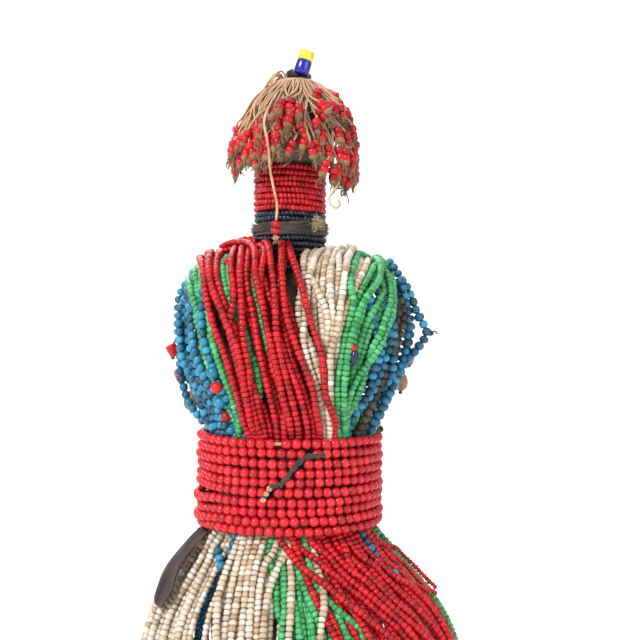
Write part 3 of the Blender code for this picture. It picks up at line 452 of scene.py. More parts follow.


# Each bead material's dirt colour is also the painted shade that darkens the beads' ends where they meet.
RED = bead_material(
    "red_glass",
    (
        (0.0, (0.26, 0.002, 0.005)),
        (0.2, (0.42, 0.003, 0.008)),
        (0.7, (0.58, 0.004, 0.012)),
        (1.0, (0.70, 0.010, 0.020)),
    ),
    dirt_and_shade=(0.040, 0.002, 0.003),
    coat=0.08,
)
BELT_RED = bead_material(
    "belt_red_glass",
    (
        (0.0, (0.34, 0.005, 0.010)),
        (0.15, (0.48, 0.006, 0.014)),
        (0.8, (0.60, 0.008, 0.019)),
        (1.0, (0.68, 0.022, 0.032)),
    ),
    dirt_and_shade=(0.120, 0.006, 0.008),
    rim_dirt_and_shade=0.7,
    speckle=0.12,
    roughness=0.3,
)
BLUE = bead_material(
    "blue_glass",
    (
        (0.0, (0.008, 0.045, 0.075)),
        (0.3, (0.012, 0.105, 0.185)),
        (0.7, (0.015, 0.190, 0.340)),
        (1.0, (0.040, 0.300, 0.480)),
    ),
    dirt_and_shade=(0.004, 0.015, 0.022),
    roughness=0.3,
)
GREEN = bead_material(
    "green_glass",
    (
        (0.0, (0.035, 0.240, 0.070)),
        (0.25, (0.055, 0.360, 0.120)),
        (0.7, (0.075, 0.450, 0.160)),
        (1.0, (0.115, 0.540, 0.215)),
    ),
    dirt_and_shade=(0.008, 0.035, 0.012),
    speckle=0.5,
)
WHITE = bead_material(
    "cream_glass",
    (
        (0.0, (0.420, 0.280, 0.170)),
        (0.15, (0.560, 0.420, 0.290)),
        (0.5, (0.680, 0.570, 0.440)),
        (0.85, (0.760, 0.690, 0.580)),
        (1.0, (0.820, 0.780, 0.710)),
    ),
    dirt_and_shade=(0.130, 0.065, 0.030),
    speckle=0.35,
    rim_dirt_and_shade=0.8,
)
NAVY = bead_material(
    "navy_glass",
    ((0.0, (0.004, 0.004, 0.008)), (0.5, (0.008, 0.011, 0.030)), (1.0, (0.020, 0.032, 0.090))),
    dirt_and_shade=(0.010, 0.007, 0.006),
    roughness=0.22,
)
DARK = bead_material(
    "dark_brown_glass",
    ((0.0, (0.018, 0.013, 0.011)), (0.6, (0.042, 0.031, 0.024)), (1.0, (0.085, 0.066, 0.050))),
    dirt_and_shade=(0.010, 0.007, 0.006),
    roughness=0.5,
    speckle=0.6,
)
CORD = fibre_material("tan_cord", (0.330, 0.170, 0.080), (0.820, 0.540, 0.330))
THREAD = fibre_material("string_thread", (0.150, 0.090, 0.050), (0.500, 0.370, 0.230))
FRAYED = fibre_material("frayed_cord", (0.110, 0.048, 0.018), (0.450, 0.240, 0.105))
TIE = fibre_material("dark_tie_cord", (0.020, 0.012, 0.009), (0.095, 0.058, 0.038))


# Beads and strings


def bead_shape(name, width, length, sides, rings):
    """A bead's outside as (share of the half width, share of the length) rings, on Z."""
    points, rim = [], []
    for wide, high in rings:
        half = width / 2 * wide
        for i in range(sides):
            angle = 2 * math.pi * (i + 0.5) / sides
            points.append((half * math.cos(angle), half * math.sin(angle), length * high))
            # bead_rim: near 1 at the bead's ends, where the bead material paints shade and dirt.
            rim.append(min(1.0, max(0.0, 2.2 * abs(high) - 0.15)))
    return mesh_object(name, points, tube_faces(len(rings), sides), flat=2, bead_rim=rim)


BARREL = ((0.66, -0.51), (1.0, -0.30), (1.0, 0.30), (0.66, 0.51))
ROUND = ((0.34, -0.50), (0.78, -0.36), (1.0, -0.11), (1.0, 0.11), (0.78, 0.36), (0.34, 0.50))
PEARL = ((0.44, -0.50), (0.90, -0.29), (1.0, 0.0), (0.90, 0.29), (0.44, 0.50))
CUBE = ((0.62, -0.50), (0.98, -0.36), (1.0, 0.36), (0.62, 0.50))
SLIM = ((0.72, -0.5), (1.0, 0.0), (0.72, 0.5))
SEED = bead_shape("seed_bead", SEED_WIDTH, SEED_LENGTH, 7, BARREL)
HIDDEN_SEED = bead_shape("plain_seed_bead", SEED_WIDTH, SEED_LENGTH, 6, BARREL)
BALL = bead_shape("round_bead", 1.06 * BELT_BEAD, 1.03 * BELT_BEAD, 10, ROUND)
LARGE_BALL = bead_shape("large_bead", 5.3 * MM, 5.0 * MM, 12, ROUND)
DARK_SEED = bead_shape("oval_seed", 3.8 * MM, 6.4 * MM, 10, ROUND)
NECK_STEP = 1.8 * MM
NECK_SEED = bead_shape("neck_bead", 2.72 * MM, NECK_STEP, 7, BARREL)
BLUE_BALL = bead_shape("blue_round_bead", 4.1 * MM, 3.5 * MM, 8, PEARL)
INNER_SEED = bead_shape("inner_seed_bead", SEED_WIDTH, SEED_LENGTH, 5, SLIM)
THIN_SEED = bead_shape("thin_seed_bead", 2.1 * MM, 1.7 * MM, 6, BARREL)
FRINGE_SEED = bead_shape("fringe_bead", 4.0 * MM, 2.9 * MM, 8, BARREL)


def string_tree():
    """Node group: beads of one shape on every line of a mesh, on a thin thread."""
    tree = bpy.data.node_groups.new("strung_beads", "GeometryNodeTree")
    face = tree.interface

    def socket(name, kind, default=None):
        made = face.new_socket(name, in_out="INPUT", socket_type=kind)
        if default is not None:
            made.default_value = default
        return made

    socket("Lines", "NodeSocketGeometry")
    socket("Bead", "NodeSocketObject")
    socket("Spacing", "NodeSocketFloat", SEED_LENGTH)
    socket("Size change", "NodeSocketFloat", 0.08)
    socket("Tilt", "NodeSocketFloat", 0.12)
    socket("Missing share", "NodeSocketFloat", 0.0)
    socket("Thread radius", "NodeSocketFloat", 0.3 * MM)
    socket("Thread sides", "NodeSocketInt", 3)
    socket("Seed", "NodeSocketInt", 1)
    socket("Bead material", "NodeSocketMaterial")
    socket("Thread material", "NodeSocketMaterial")
    face.new_socket("Strings", in_out="OUTPUT", socket_type="NodeSocketGeometry")
    new, link = tree.nodes.new, tree.links.new
    given = new("NodeGroupInput").outputs
    lines = new("GeometryNodeMeshToCurve")
    link(given["Lines"], lines.inputs["Mesh"])
    places = new("GeometryNodeCurveToPoints")
    places.mode = "LENGTH"
    link(lines.outputs["Curve"], places.inputs["Curve"])
    link(given["Spacing"], places.inputs["Length"])

    def random(kind, low, high, shift):
        made = new("FunctionNodeRandomValue")
        made.data_type = kind
        enabled = [s for s in made.inputs if s.enabled]
        for want, value in (("Min", low), ("Max", high)):
            target = next(s for s in enabled if s.name == want)
            if hasattr(value, "is_output"):
                link(value, target)
            else:
                target.default_value = value
        add = new("FunctionNodeIntegerMath")
        add.operation = "ADD"
        link(given["Seed"], add.inputs[0])
        add.inputs[1].default_value = shift
        link(add.outputs[0], next(s for s in enabled if s.name == "Seed"))
        return next(s for s in made.outputs if s.enabled)

    def maths(kind, one, two):
        made = new("ShaderNodeMath")
        made.operation = kind
        for target, value in zip(made.inputs, (one, two)):
            if hasattr(value, "is_output"):
                link(value, target)
            else:
                target.default_value = value
        return made.outputs[0]

    lost = new("GeometryNodeDeleteGeometry")
    lost.domain = "POINT"
    link(places.outputs["Points"], lost.inputs["Geometry"])
    drawn = random("FLOAT", 0.0, 1.0, 40)
    link(maths("LESS_THAN", drawn, given["Missing share"]), lost.inputs["Selection"])
    down = maths("SUBTRACT", 1.0, given["Size change"])
    up = maths("ADD", 1.0, given["Size change"])
    size = new("ShaderNodeCombineXYZ")
    across = random("FLOAT", down, up, 1)
    link(across, size.inputs["X"])
    link(across, size.inputs["Y"])
    link(random("FLOAT", down, up, 2), size.inputs["Z"])
    lean = new("ShaderNodeCombineXYZ")
    back = maths("MULTIPLY", given["Tilt"], -1.0)
    link(random("FLOAT", back, given["Tilt"], 3), lean.inputs["X"])
    link(random("FLOAT", back, given["Tilt"], 4), lean.inputs["Y"])
    link(random("FLOAT", 0.0, 6.28, 5), lean.inputs["Z"])
    tilt = new("FunctionNodeEulerToRotation")
    link(lean.outputs[0], tilt.inputs[0])
    turned = new("FunctionNodeRotateRotation")
    turned.rotation_space = "LOCAL"
    link(places.outputs["Rotation"], turned.inputs["Rotation"])
    link(tilt.outputs[0], turned.inputs["Rotate By"])
    bead = new("GeometryNodeObjectInfo")
    link(given["Bead"], bead.inputs["Object"])
    put = new("GeometryNodeInstanceOnPoints")
    link(lost.outputs["Geometry"], put.inputs["Points"])
    link(bead.outputs["Geometry"], put.inputs["Instance"])
    link(turned.outputs["Rotation"], put.inputs["Rotation"])
    link(size.outputs[0], put.inputs["Scale"])
    tint = new("GeometryNodeStoreNamedAttribute")
    tint.data_type = "FLOAT"
    tint.domain = "INSTANCE"
    tint.inputs["Name"].default_value = "bead_tint"
    link(put.outputs["Instances"], tint.inputs["Geometry"])
    value = next(s for s in tint.inputs if s.enabled and s.name == "Value")
    link(random("FLOAT", 0.0, 1.0, 6), value)
    real = new("GeometryNodeRealizeInstances")
    link(tint.outputs["Geometry"], real.inputs["Geometry"])
    glass = new("GeometryNodeSetMaterial")
    link(real.outputs["Geometry"], glass.inputs["Geometry"])
    link(given["Bead material"], glass.inputs["Material"])
    coarse = new("GeometryNodeResampleCurve")
    coarse.mode = "LENGTH"
    link(lines.outputs["Curve"], coarse.inputs["Curve"])
    link(maths("MULTIPLY", given["Spacing"], 2.0), coarse.inputs["Length"])
    ring = new("GeometryNodeCurvePrimitiveCircle")
    link(given["Thread sides"], ring.inputs["Resolution"])
    link(given["Thread radius"], ring.inputs["Radius"])
    thread = new("GeometryNodeCurveToMesh")
    link(coarse.outputs["Curve"], thread.inputs["Curve"])
    link(ring.outputs["Curve"], thread.inputs["Profile Curve"])
    thread.inputs["Fill Caps"].default_value = True
    fibre = new("GeometryNodeSetMaterial")
    link(thread.outputs["Mesh"], fibre.inputs["Geometry"])
    link(given["Thread material"], fibre.inputs["Material"])
    both = new("GeometryNodeJoinGeometry")
    link(fibre.outputs["Geometry"], both.inputs[0])
    link(glass.outputs["Geometry"], both.inputs[0])
    out = new("NodeGroupOutput")
    link(both.outputs[0], out.inputs[0])
    return tree


STRING_TREE = string_tree()


def line_mesh(name, lines, closed=False):
    points, edges = [], []
    for line in lines:
        start = len(points)
        points += [tuple(p) for p in line]
        edges += [(start + i, start + i + 1) for i in range(len(line) - 1)]
        if closed:
            edges.append((len(points) - 1, start))
    mesh = bpy.data.meshes.new(name)
    mesh.from_pydata(points, edges, [])
    return mesh


def strung(name, lines, bead, material, closed=False, **sizes):
    """One mesh piece of beads on lines. sizes are the node group's named inputs."""
    made = bpy.data.objects.new(name, line_mesh(name + "_lines", lines, closed))
    bpy.context.collection.objects.link(made)
    change = made.modifiers.new("beads", "NODES")
    change.node_group = STRING_TREE
    given = {"Bead": bead, "Bead material": material, "Thread material": THREAD}
    given.update({key.replace("_", " ").capitalize(): value for key, value in sizes.items()})
    for item in STRING_TREE.interface.items_tree:
        if item.in_out == "INPUT" and item.name in given:
            change[item.identifier] = given[item.name]
    made.update_tag()
    evaluated = made.evaluated_get(bpy.context.evaluated_depsgraph_get())
    mesh = bpy.data.meshes.new_from_object(evaluated)
    made.modifiers.remove(change)
    old = made.data
    made.data = mesh
    mesh.name = name
    bpy.data.meshes.remove(old)
    return made


def joined(name, objects):
    """Several meshes as one piece, with their own materials."""
    bpy.ops.object.select_all(action="DESELECT")
    for o in objects:
        o.select_set(True)
    bpy.context.view_layer.objects.active = objects[0]
    if len(objects) > 1:
        bpy.ops.object.join()
    objects[0].name = name
    objects[0].data.name = name
    return objects[0]


def place_piece(made, slot, *nodes):
    """The piece rides on the doll's one body and stands for its solids."""
    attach(made, "root")
    if nodes:
        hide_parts(*nodes)
    return made


def sweep(name, path, radii, sides, material, twist=0.0, lobes=0, lobe_depth=0.0, tint=0.5):
    """A closed round or lobed tube along a path, for cords and knots."""
    path = np.asarray(path, float)
    radii = np.broadcast_to(np.asarray(radii, float), len(path))
    tangents = np.gradient(path, axis=0)
    tangents /= np.maximum(np.linalg.norm(tangents, axis=1), 1e-9)[:, None]
    normal = np.cross(tangents[0], (0.31, 0.52, 0.79))
    normal /= np.linalg.norm(normal)
    along = distance_along(path)
    points = []
    for p, t, r, s in zip(path, tangents, radii, along):
        normal = normal - t * np.dot(normal, t)
        normal /= np.linalg.norm(normal)
        other = np.cross(t, normal)
        for i in range(sides):
            angle = 2 * math.pi * i / sides
            reach = r * (1 - lobe_depth + lobe_depth * math.cos(lobes * angle + twist * s)) if lobes else r
            points.append(tuple(p + reach * (math.cos(angle) * normal + math.sin(angle) * other)))
    faces = tube_faces(len(path), sides)
    return mesh_object(name, points, faces, material, bead_tint=[tint] * len(points))


def coiled(middle, radius, turns, flat=0.6, count=26):
    """A small coil that reads as a tied knot."""
    turn = np.linspace(0, 2 * math.pi * turns, count)
    x, y, z = middle
    rows = [x + radius * np.cos(turn), y + flat * radius * np.sin(2.2 * turn), z + radius * np.sin(turn)]
    return np.stack(rows, axis=1)


def lone_beads(name, places, bead, material, seed=1):
    """Single beads, upright at their places."""
    half = np.array((0, 0, 0.2 * MM))
    ends = [np.stack([np.array(p) - half, np.array(p) + half]) for p in places]
    return strung(name, ends, bead, material, spacing=0.1, thread_radius=0.2 * MM, tilt=0.3, seed=seed)


# Strings over the shoulders


def drape_reach(angle, level):
    """How far the drape reaches at angles from the back and levels."""
    low, high = np.zeros_like(angle), np.full_like(angle, 80 * MM)
    for _ in range(24):
        middle = (low + high) / 2
        p = np.stack([middle * np.sin(angle), middle * np.cos(angle), level], axis=1)
        inside = drape_field(p) < 0
        low, high = np.where(inside, middle, low), np.where(inside, high, middle)
    return low


def drape_levels(x, t):
    """Levels at t down the drape, and straight on down under the belt beyond t of 1."""
    top = drape_top(x)
    level = top + (TUCK_START - top) * (1 - np.cos(np.minimum(t, 1) * math.pi / 2))
    return level - 90 * MM * np.maximum(0, t - 1)


TUCKED = 1.05  # t of a string's end under the belt


def lifted(points, field, lift):
    out = off_surface(field, points)[1]
    return points + out * np.asarray(lift).reshape(-1, 1)


def over_shoulder(back, front, lift, wander=0.6 * MM):
    """A string up the front and down the back; back and front are ((t, x), ...) routes."""
    rows = []
    for side, route in ((-1, front), (1, back)):
        t = np.linspace(0, TUCKED, 60)
        x = smooth_curve(t, [p[0] for p in route], [p[1] for p in route])
        wave = dice.uniform(0, 6.28, 2)
        sideways = np.sin(7 * t + wave[0]) + 0.5 * np.sin(15 * t + wave[1])
        x = x + wander * np.sin(math.pi * np.clip(t, 0, 1)) * sideways
        level = drape_levels(x, t)
        depth = np.where(t < 1e-6, 0.0, drape_depth(x, level, side > 0))
        points = np.stack([x, side * depth, level], axis=1)
        rows.append(points[::-1] if side < 0 else points[1:])
    points = even_steps(np.concatenate(rows), SEED_LENGTH)
    return lifted(points, drape_field, lift)


def seen_route(pixels):
    """Photograph places on the doll's back as a (t, x) route down the drape."""
    route = []
    for px, py in pixels:
        y = 30 * MM
        for _ in range(8):
            x, z = seen_at(px, py, y)
            y = 0.5 * y + 0.5 * float(drape_depth(np.array(x), np.array(z), True))
        top = float(drape_top(np.array(x)))
        share = 1 - (top - z) / (top - TUCK_START)
        route.append((2 / math.pi * math.acos(min(1.0, max(-1.0, share))), x))
    cleaned = [(0.0, route[0][1])]
    for t, x in route:
        if t > cleaned[-1][0] + 0.03:
            cleaned.append((t, x))
    if cleaned[-1][0] < TUCKED:
        cleaned.append((TUCKED + 0.03, cleaned[-1][1]))
    return cleaned


# Edges of each bundle in millimetres of X, at these t down the back and down the front
EDGE_T = (0.0, 0.125, 0.25, 0.5, 0.75, 1.0)
BUNDLES = {
    "green_left": (
        ((43.0, 42.8, 42.0, 38.0, 29.5, 17.0), (37.8, 37.3, 35.9, 31.8, 23.3, 11.3)),
        ((43.0, 42.0, 38.0, 20.5, 14.0, 9.0), (37.8, 36.0, 32.0, 15.8, 8.8, 3.8)),
    ),
    "red": (
        ((37.0, 36.5, 35.1, 31.0, 22.5, 10.5), (14.5, 13.2, 4.2, -4.5, -14.0, -17.3)),
        ((37.0, 35.2, 31.2, 15.0, 8.0, 3.0), (14.5, 13.5, 5.0, -7.5, -13.5, -17.5)),
    ),
    "white": (
        ((-15.5, -13.8, -9.0, -6.5, -14.8, -18.1), (-33.0, -33.2, -32.5, -26.5, -21.6, -22.4)),
        ((-15.5, -14.5, -5.0, -8.5, -14.5, -18.4), (-33.0, -32.5, -28.5, -14.6, -17.6, -21.8)),
    ),
    "green_right": (
        ((-32.8, -34.0, -33.3, -27.3, -22.4, -23.2), (-43.5, -43.8, -43.5, -40.5, -30.0, -27.5)),
        ((-32.8, -33.3, -29.4, -15.5, -18.5, -22.7), (-43.0, -42.0, -38.0, -20.6, -22.6, -27.0)),
    ),
}
# Strings that show on the doll's back, as places in the photograph from the shoulder to the belt
SEEN = {
    "red": (
        (
            (208, 247), (206, 256), (208, 271), (215, 287), (219, 308), (225, 333), (233, 353), (240, 377),
            (247, 397), (253, 417), (257, 436),
        ),
        (
            (218, 242), (215, 253), (218, 273), (220, 293), (224, 303), (231, 315), (236, 331), (242, 347),
            (247, 367), (253, 388), (258, 412), (263, 436),
        ),
        (
            (227, 241), (223, 255), (222, 271), (223, 287), (229, 307), (238, 329), (245, 349), (252, 372),
            (259, 395), (265, 417), (270, 436),
        ),
        (
            (245, 227), (245, 245), (245, 265), (244, 289), (246, 317), (246, 345), (252, 367), (255, 388),
            (261, 415), (267, 436),
        ),
        (
            (234, 233), (236, 245), (243, 253), (255, 260), (260, 277), (266, 297), (268, 317), (271, 335),
            (277, 357), (283, 385), (290, 412), (294, 436),
        ),
        (
            (253, 243), (251, 271), (253, 295), (256, 315), (259, 341), (265, 361), (271, 385), (277, 407),
            (281, 436),
        ),
        (
            (261, 240), (269, 253), (273, 271), (277, 289), (277, 309), (277, 329), (283, 353), (289, 377),
            (296, 401), (300, 436),
        ),
        (
            (277, 239), (285, 251), (286, 265), (283, 283), (279, 301), (279, 317), (285, 341), (293, 365),
            (302, 388), (306, 413), (308, 436),
        ),
        (
            (283, 262), (284, 280), (288, 300), (290, 315), (296, 337), (305, 361), (314, 385), (316, 415),
            (319, 436),
        ),
        (
            (290, 262), (294, 270), (301, 283), (307, 295), (313, 317), (317, 333), (323, 353), (325, 375),
            (328, 405), (330, 436),
        ),
        (
            (268, 238), (263, 255), (262, 275), (271, 300), (284, 325), (290, 352), (302, 380), (311, 405),
            (314, 436),
        ),
        (
            (239, 236), (232, 250), (236, 275), (238, 300), (233, 322), (240, 349), (248, 378), (253, 400),
            (259, 436),
        ),
        (
            (256, 236), (265, 250), (268, 262), (263, 285), (264, 310), (273, 340), (276, 365), (287, 395),
            (287, 436),
        ),
    ),
    "white": (
        (
            (319, 235), (314, 247), (312, 265), (311, 280), (317, 289), (323, 301), (330, 315), (333, 326),
            (330, 345), (331, 368), (333, 400),
        ),
        ((325, 233), (320, 252), (313, 268), (310, 285), (305, 317), (307, 345), (315, 372), (324, 400)),
        ((331, 236), (328, 260), (325, 280), (324, 300), (328, 320), (326, 345), (327, 375)),
        ((347, 237), (341, 259), (339, 275), (337, 291), (333, 305), (331, 322), (329, 350), (331, 385)),
        ((353, 236), (355, 246), (348, 267), (343, 293), (339, 317), (336, 333), (330, 350), (328, 372)),
        (
            (367, 240), (366, 253), (363, 271), (355, 285), (349, 301), (345, 317), (340, 335), (339, 349),
            (339, 371), (340, 391), (341, 413), (336, 437),
        ),
        ((340, 234), (334, 250), (331, 272), (331, 296), (336, 318), (333, 345), (330, 372), (333, 400)),
        ((312, 243), (308, 262), (308, 285), (303, 305), (302, 322), (311, 345), (322, 368)),
    ),
    "green_right": (
        (
            (377, 258), (373, 273), (363, 285), (355, 301), (350, 317), (347, 345), (341, 365), (335, 395),
            (333, 425), (332, 437),
        ),
        ((381, 249), (387, 263), (381, 281), (377, 299), (370, 313), (361, 331), (356, 347)),
        (
            (369, 242), (385, 251), (391, 265), (389, 285), (385, 309), (377, 329), (372, 345), (364, 365),
            (356, 385), (346, 405), (339, 425), (338, 437),
        ),
        (
            (383, 247), (391, 257), (396, 271), (391, 295), (383, 315), (377, 335), (367, 357), (353, 379),
            (345, 400), (341, 425),
        ),
        ((357, 247), (355, 261), (352, 275), (348, 290), (351, 310), (344, 335), (341, 360), (336, 390)),
        ((372, 285), (364, 296), (357, 309), (352, 330), (346, 352), (341, 380)),
    ),
    "green_left": (
        ((203, 262), (202, 289), (205, 317), (211, 353), (221, 375), (227, 393), (233, 407), (241, 429)),
        (
            (209, 268), (208, 281), (213, 305), (217, 329), (223, 353), (229, 375), (239, 395), (245, 415),
            (247, 435),
        ),
        ((231, 253), (233, 271), (234, 291), (239, 309), (244, 330), (250, 352), (254, 380)),
        ((258, 296), (262, 310), (265, 323), (271, 345), (277, 365), (283, 390)),
        ((228, 262), (229, 285), (236, 312), (247, 345), (258, 372)),
    ),
}
UNDER = {"green_left": 2, "red": 4, "white": 3, "green_right": 2}
UPPER_LIFT = {"green_left": 1.9, "red": 5.4, "white": 4.2, "green_right": 3.6}


def edge_route(values, other, u):
    mixed_x = [(1 - u) * a + u * b for a, b in zip(values, other)]
    return [(t, x * MM) for t, x in zip(EDGE_T, mixed_x)] + [(TUCKED + 0.03, mixed_x[-1] * MM)]


shoulder = {}
for colour, (back, front) in BUNDLES.items():
    strings = []
    seen = SEEN[colour]
    fronts = list((np.arange(len(seen)) + 0.5) / len(seen) + dice.uniform(-0.05, 0.05, len(seen)))
    for pixels, u in zip(seen, fronts):
        low = pixels[0][0] > 225 and colour == "green_left"
        lift = 1.7 if low else UPPER_LIFT[colour] + dice.choice((-1.3, 0.0, 1.5)) + dice.uniform(-0.3, 0.3)
        strings.append(over_shoulder(seen_route(pixels), edge_route(*front, u), lift * MM))
    count = UNDER[colour]
    for i in range(count):
        u = (i + 0.5) / count + dice.uniform(-0.03, 0.03)
        strings.append(
            over_shoulder(edge_route(*back, u), edge_route(*front, 1 - (1 - u) * 0.98), 1.7 * MM)
        )
    shoulder[colour] = strings

# Blue strings at the doll's sides: places in the photograph, each with its depth in millimetres
BLUE_LEFT = (
    (
        (197, 274, 6), (187, 292, 5), (181, 315, 4), (178, 326, 3), (178, 339, 3), (183, 351, 4),
        (181, 374, 6), (184, 390, 8), (186, 401, 9), (193, 409, 11), (201, 419, 14), (209, 430, 16),
        (214, 440, 17),
    ),
    (
        (198, 283, 12), (193, 307, 10), (187, 331, 8), (189, 352, 9), (195, 371, 12), (201, 388, 14),
        (206, 406, 17), (211, 418, 18), (216, 432, 20), (219, 441, 20),
    ),
    (
        (197, 279, 15), (195, 300, 14), (196, 320, 13), (199, 337, 13), (200, 350, 14), (206, 368, 17),
        (209, 382, 18), (211, 394, 19), (217, 410, 21), (224, 430, 22), (227, 441, 23),
    ),
    (
        (200, 290, 18), (201, 320, 18), (205, 345, 19), (211, 365, 20), (217, 385, 22), (222, 405, 24),
        (228, 425, 25), (232, 441, 25),
    ),
    (
        (196, 300, 8), (191, 320, 7), (193, 345, 9), (198, 362, 11), (203, 381, 14), (208, 400, 17),
        (216, 420, 19), (222, 441, 20),
    ),
)
BLUE_RIGHT = (
    (
        (393, 301, 17), (389, 317, 18), (380, 335, 21), (373, 355, 22), (367, 373, 23), (359, 384, 24),
        (353, 395, 25), (349, 413, 26), (343, 425, 26), (337, 441, 26),
    ),
    (
        (401, 275, 9), (407, 301, 9), (409, 329, 8), (407, 349, 9), (403, 362, 10), (396, 376, 13),
        (391, 392, 16), (381, 408, 18), (373, 424, 19), (366, 441, 20),
    ),
    (
        (400, 288, 3), (411, 310, 3), (412, 335, 3), (408, 352, 4), (404, 368, 7), (397, 385, 11),
        (389, 398, 13), (383, 413, 15), (376, 428, 16), (370, 441, 17),
    ),
)
DARK_RIGHT = (
    (
        (399, 303, 14), (397, 325, 14), (392, 345, 16), (386, 365, 17), (380, 385, 18), (373, 402, 20),
        (366, 418, 21), (358, 441, 22),
    ),
    (
        (397, 297, 12), (401, 320, 12), (398, 345, 13), (391, 362, 15), (384, 380, 17), (377, 397, 18),
        (370, 415, 19), (363, 441, 21),
    ),
)


def side_string(places, spacing):
    """A string at the side, from under the shoulder bundle down to the belt."""
    points = []
    for px, py, y in places:
        x, z = seen_at(px, py, y * MM)
        points.append((x, y * MM, z))
    x, y, z = points[0]
    ridge = float(drape_top(np.array(abs(x) * 0.94)))
    points.insert(0, (x * 0.94, 0.3 * y, ridge))
    return even_steps(smooth_line(points, 60), spacing)


def unseen_side_strings(side, angles, spacing):
    """Strings down the side, between the ones that show and the forearm."""
    made = []
    for top, bottom in angles:
        share = np.linspace(0, 1, 40)
        level = 236 * MM - (236 * MM - TUCK_START + 4 * MM) * share
        angle = np.radians(top + (bottom - top) * share + 2.0 * np.sin(6 * share + dice.uniform(0, 6)))
        reach = drape_reach(angle, np.maximum(level, TUCK_START))
        p = np.stack([side * reach * np.sin(angle), reach * np.cos(angle), level], axis=1)
        made.append(even_steps(lifted(p, drape_field, 2 * MM), spacing))
    return made


def on_drape(px, py, lift):
    """The point on the drape's back, lifted off it, that is seen at a place in the photograph."""
    y = 30 * MM
    for _ in range(10):
        x, z = seen_at(px, py, y)
        y = 0.5 * y + 0.5 * (float(drape_depth(np.array(x), np.array(z), True)) + lift)
    return (x, y, z)


BLUE_STEP = 3.5 * MM
blue = [side_string(s, BLUE_STEP) for s in BLUE_LEFT + BLUE_RIGHT]
blue += unseen_side_strings(1, ((56, 33), (64, 43), (74, 58)), BLUE_STEP)
blue += unseen_side_strings(1, ((84, 86), (90, 100), (96, 118)), BLUE_STEP)
blue += unseen_side_strings(-1, ((52, 50), (59, 60), (66, 69)), BLUE_STEP)
blue += unseen_side_strings(-1, ((76, 82), (84, 93), (91, 106), (97, 120)), BLUE_STEP)
dark = [side_string(s, BLUE_STEP) for s in DARK_RIGHT]

groups = [(name, shoulder[name], SEED_WIDTH / 2) for name in shoulder]
groups += [("blue", blue, 1.95 * MM), ("dark", dark, 2.0 * MM)]
lines = [line for _, strings, _ in groups for line in strings]
radii = [radius for _, strings, radius in groups for _ in strings]
settled = settle(lines, radii, drape_field, 46, 0.015, 0.11, (BELT_TOP + 15 * MM, BELT_TOP))
settled = iter(tucked(settled, drape_field, BELT_TOP, 14 * MM, 5.0 * MM, radii))
for name, strings, _ in groups:
    shoulder[name] = [next(settled) for _ in strings]

SASH_PIECES = (
    ("red_strings", "red", RED, "red_bead", ("sash_red",)),
    ("white_strings", "white", WHITE, "white_bead", ("sash_white",)),
)
for name, colour, glass, slot, nodes in SASH_PIECES:
    seen_count = len(SEEN[colour])
    top = strung(name + "_top", shoulder[colour][:seen_count], SEED, glass, seed=len(name), size_change=0.1)
    under = strung(
        name + "_under", shoulder[colour][seen_count:], HIDDEN_SEED, glass, seed=7, size_change=0.1
    )
    place_piece(joined(name, [top, under]), slot, *nodes)
for name, colour, node in (
    ("green_strings_left", "green_left", "sash_green_left"),
    ("green_strings_right", "green_right", "sash_green_right"),
):
    made = [strung(name, shoulder[colour], SEED, GREEN, seed=len(colour), size_change=0.12)]
    if colour == "green_right":
        made.append(lone_beads("green_end_red", [on_drape(356, 347.5, 6.6 * MM)], SEED, RED))
        made.append(lone_beads("green_end_seed", [on_drape(357, 357, 6.4 * MM)], DARK_SEED, NAVY))
    place_piece(joined(name, made), "green_bead", node)
# One string of larger beads at the doll's left: places in the photograph and lifts off the drape
LARGE_BLUE = ((215, 372, 4.6 * MM), (222, 402, 4.4 * MM), (233, 430, 3.6 * MM))
LARGE_RED = ((219, 387, 4.6 * MM), (228, 416, 4.2 * MM))
sides = {1: [], -1: []}
for line in shoulder["blue"]:
    sides[1 if line[:, 0].mean() > 0 else -1].append(line)
for side, name in ((1, "left"), (-1, "right")):
    made = [
        strung(
            "blue_" + name, sides[side], BLUE_BALL, BLUE, seed=side + 3, spacing=BLUE_STEP,
            size_change=0.1,
        )
    ]
    if side > 0:
        made.append(lone_beads("large_blue", [on_drape(*p) for p in LARGE_BLUE], LARGE_BALL, BLUE, 4))
        made.append(lone_beads("large_red", [on_drape(*p) for p in LARGE_RED], LARGE_BALL, RED, 6))
    if side < 0:
        made.append(
            strung(
                "brown_right", shoulder["dark"], BLUE_BALL, DARK, seed=9, spacing=BLUE_STEP,
                size_change=0.1,
            )
        )
    place_piece(joined("blue_strings_" + name, made), "blue_bead", "side_strings_" + name)

# The belt: ten rows of round beads, some rows ending at the dark tie


def belt_ring(angles, row):
    """Points of one row. Angles are from the back, towards the doll's left."""
    level = BELT_BOTTOM + (row + 0.5) * BELT_BEAD
    turn = np.asarray(angles)
    at_left = np.exp(-(((turn - 1.28 + math.pi) % (2 * math.pi) - math.pi) ** 2) / 0.10)
    fan = (-0.9, -1.3, -1.9, -1.6, 1.2, 0.9, 0.5, 0.2, 0.0, 0.4)[row] * MM
    level = level + fan * at_left + 0.22 * MM * np.sin(2 * turn + 1.7 * row)
    level = level + 0.12 * MM * np.sin(7 * turn + 2.3 * row)
    level = level + (0.09 * (row - 4.5) + 0.3) * MM * np.sin(turn)
    bulge = (0.0, 1.6, 0.3, 1.9, 0.2, 0.5, 0.0, 0.4, 0.0, 0.0)[row]
    out = (0.25 * math.sin(2.1 * row) + 0.1) * MM + bulge * MM * at_left
    return np.stack([(BELT_WIDE + out) * np.sin(turn), (BELT_DEEP + out) * np.cos(turn), level], axis=1)


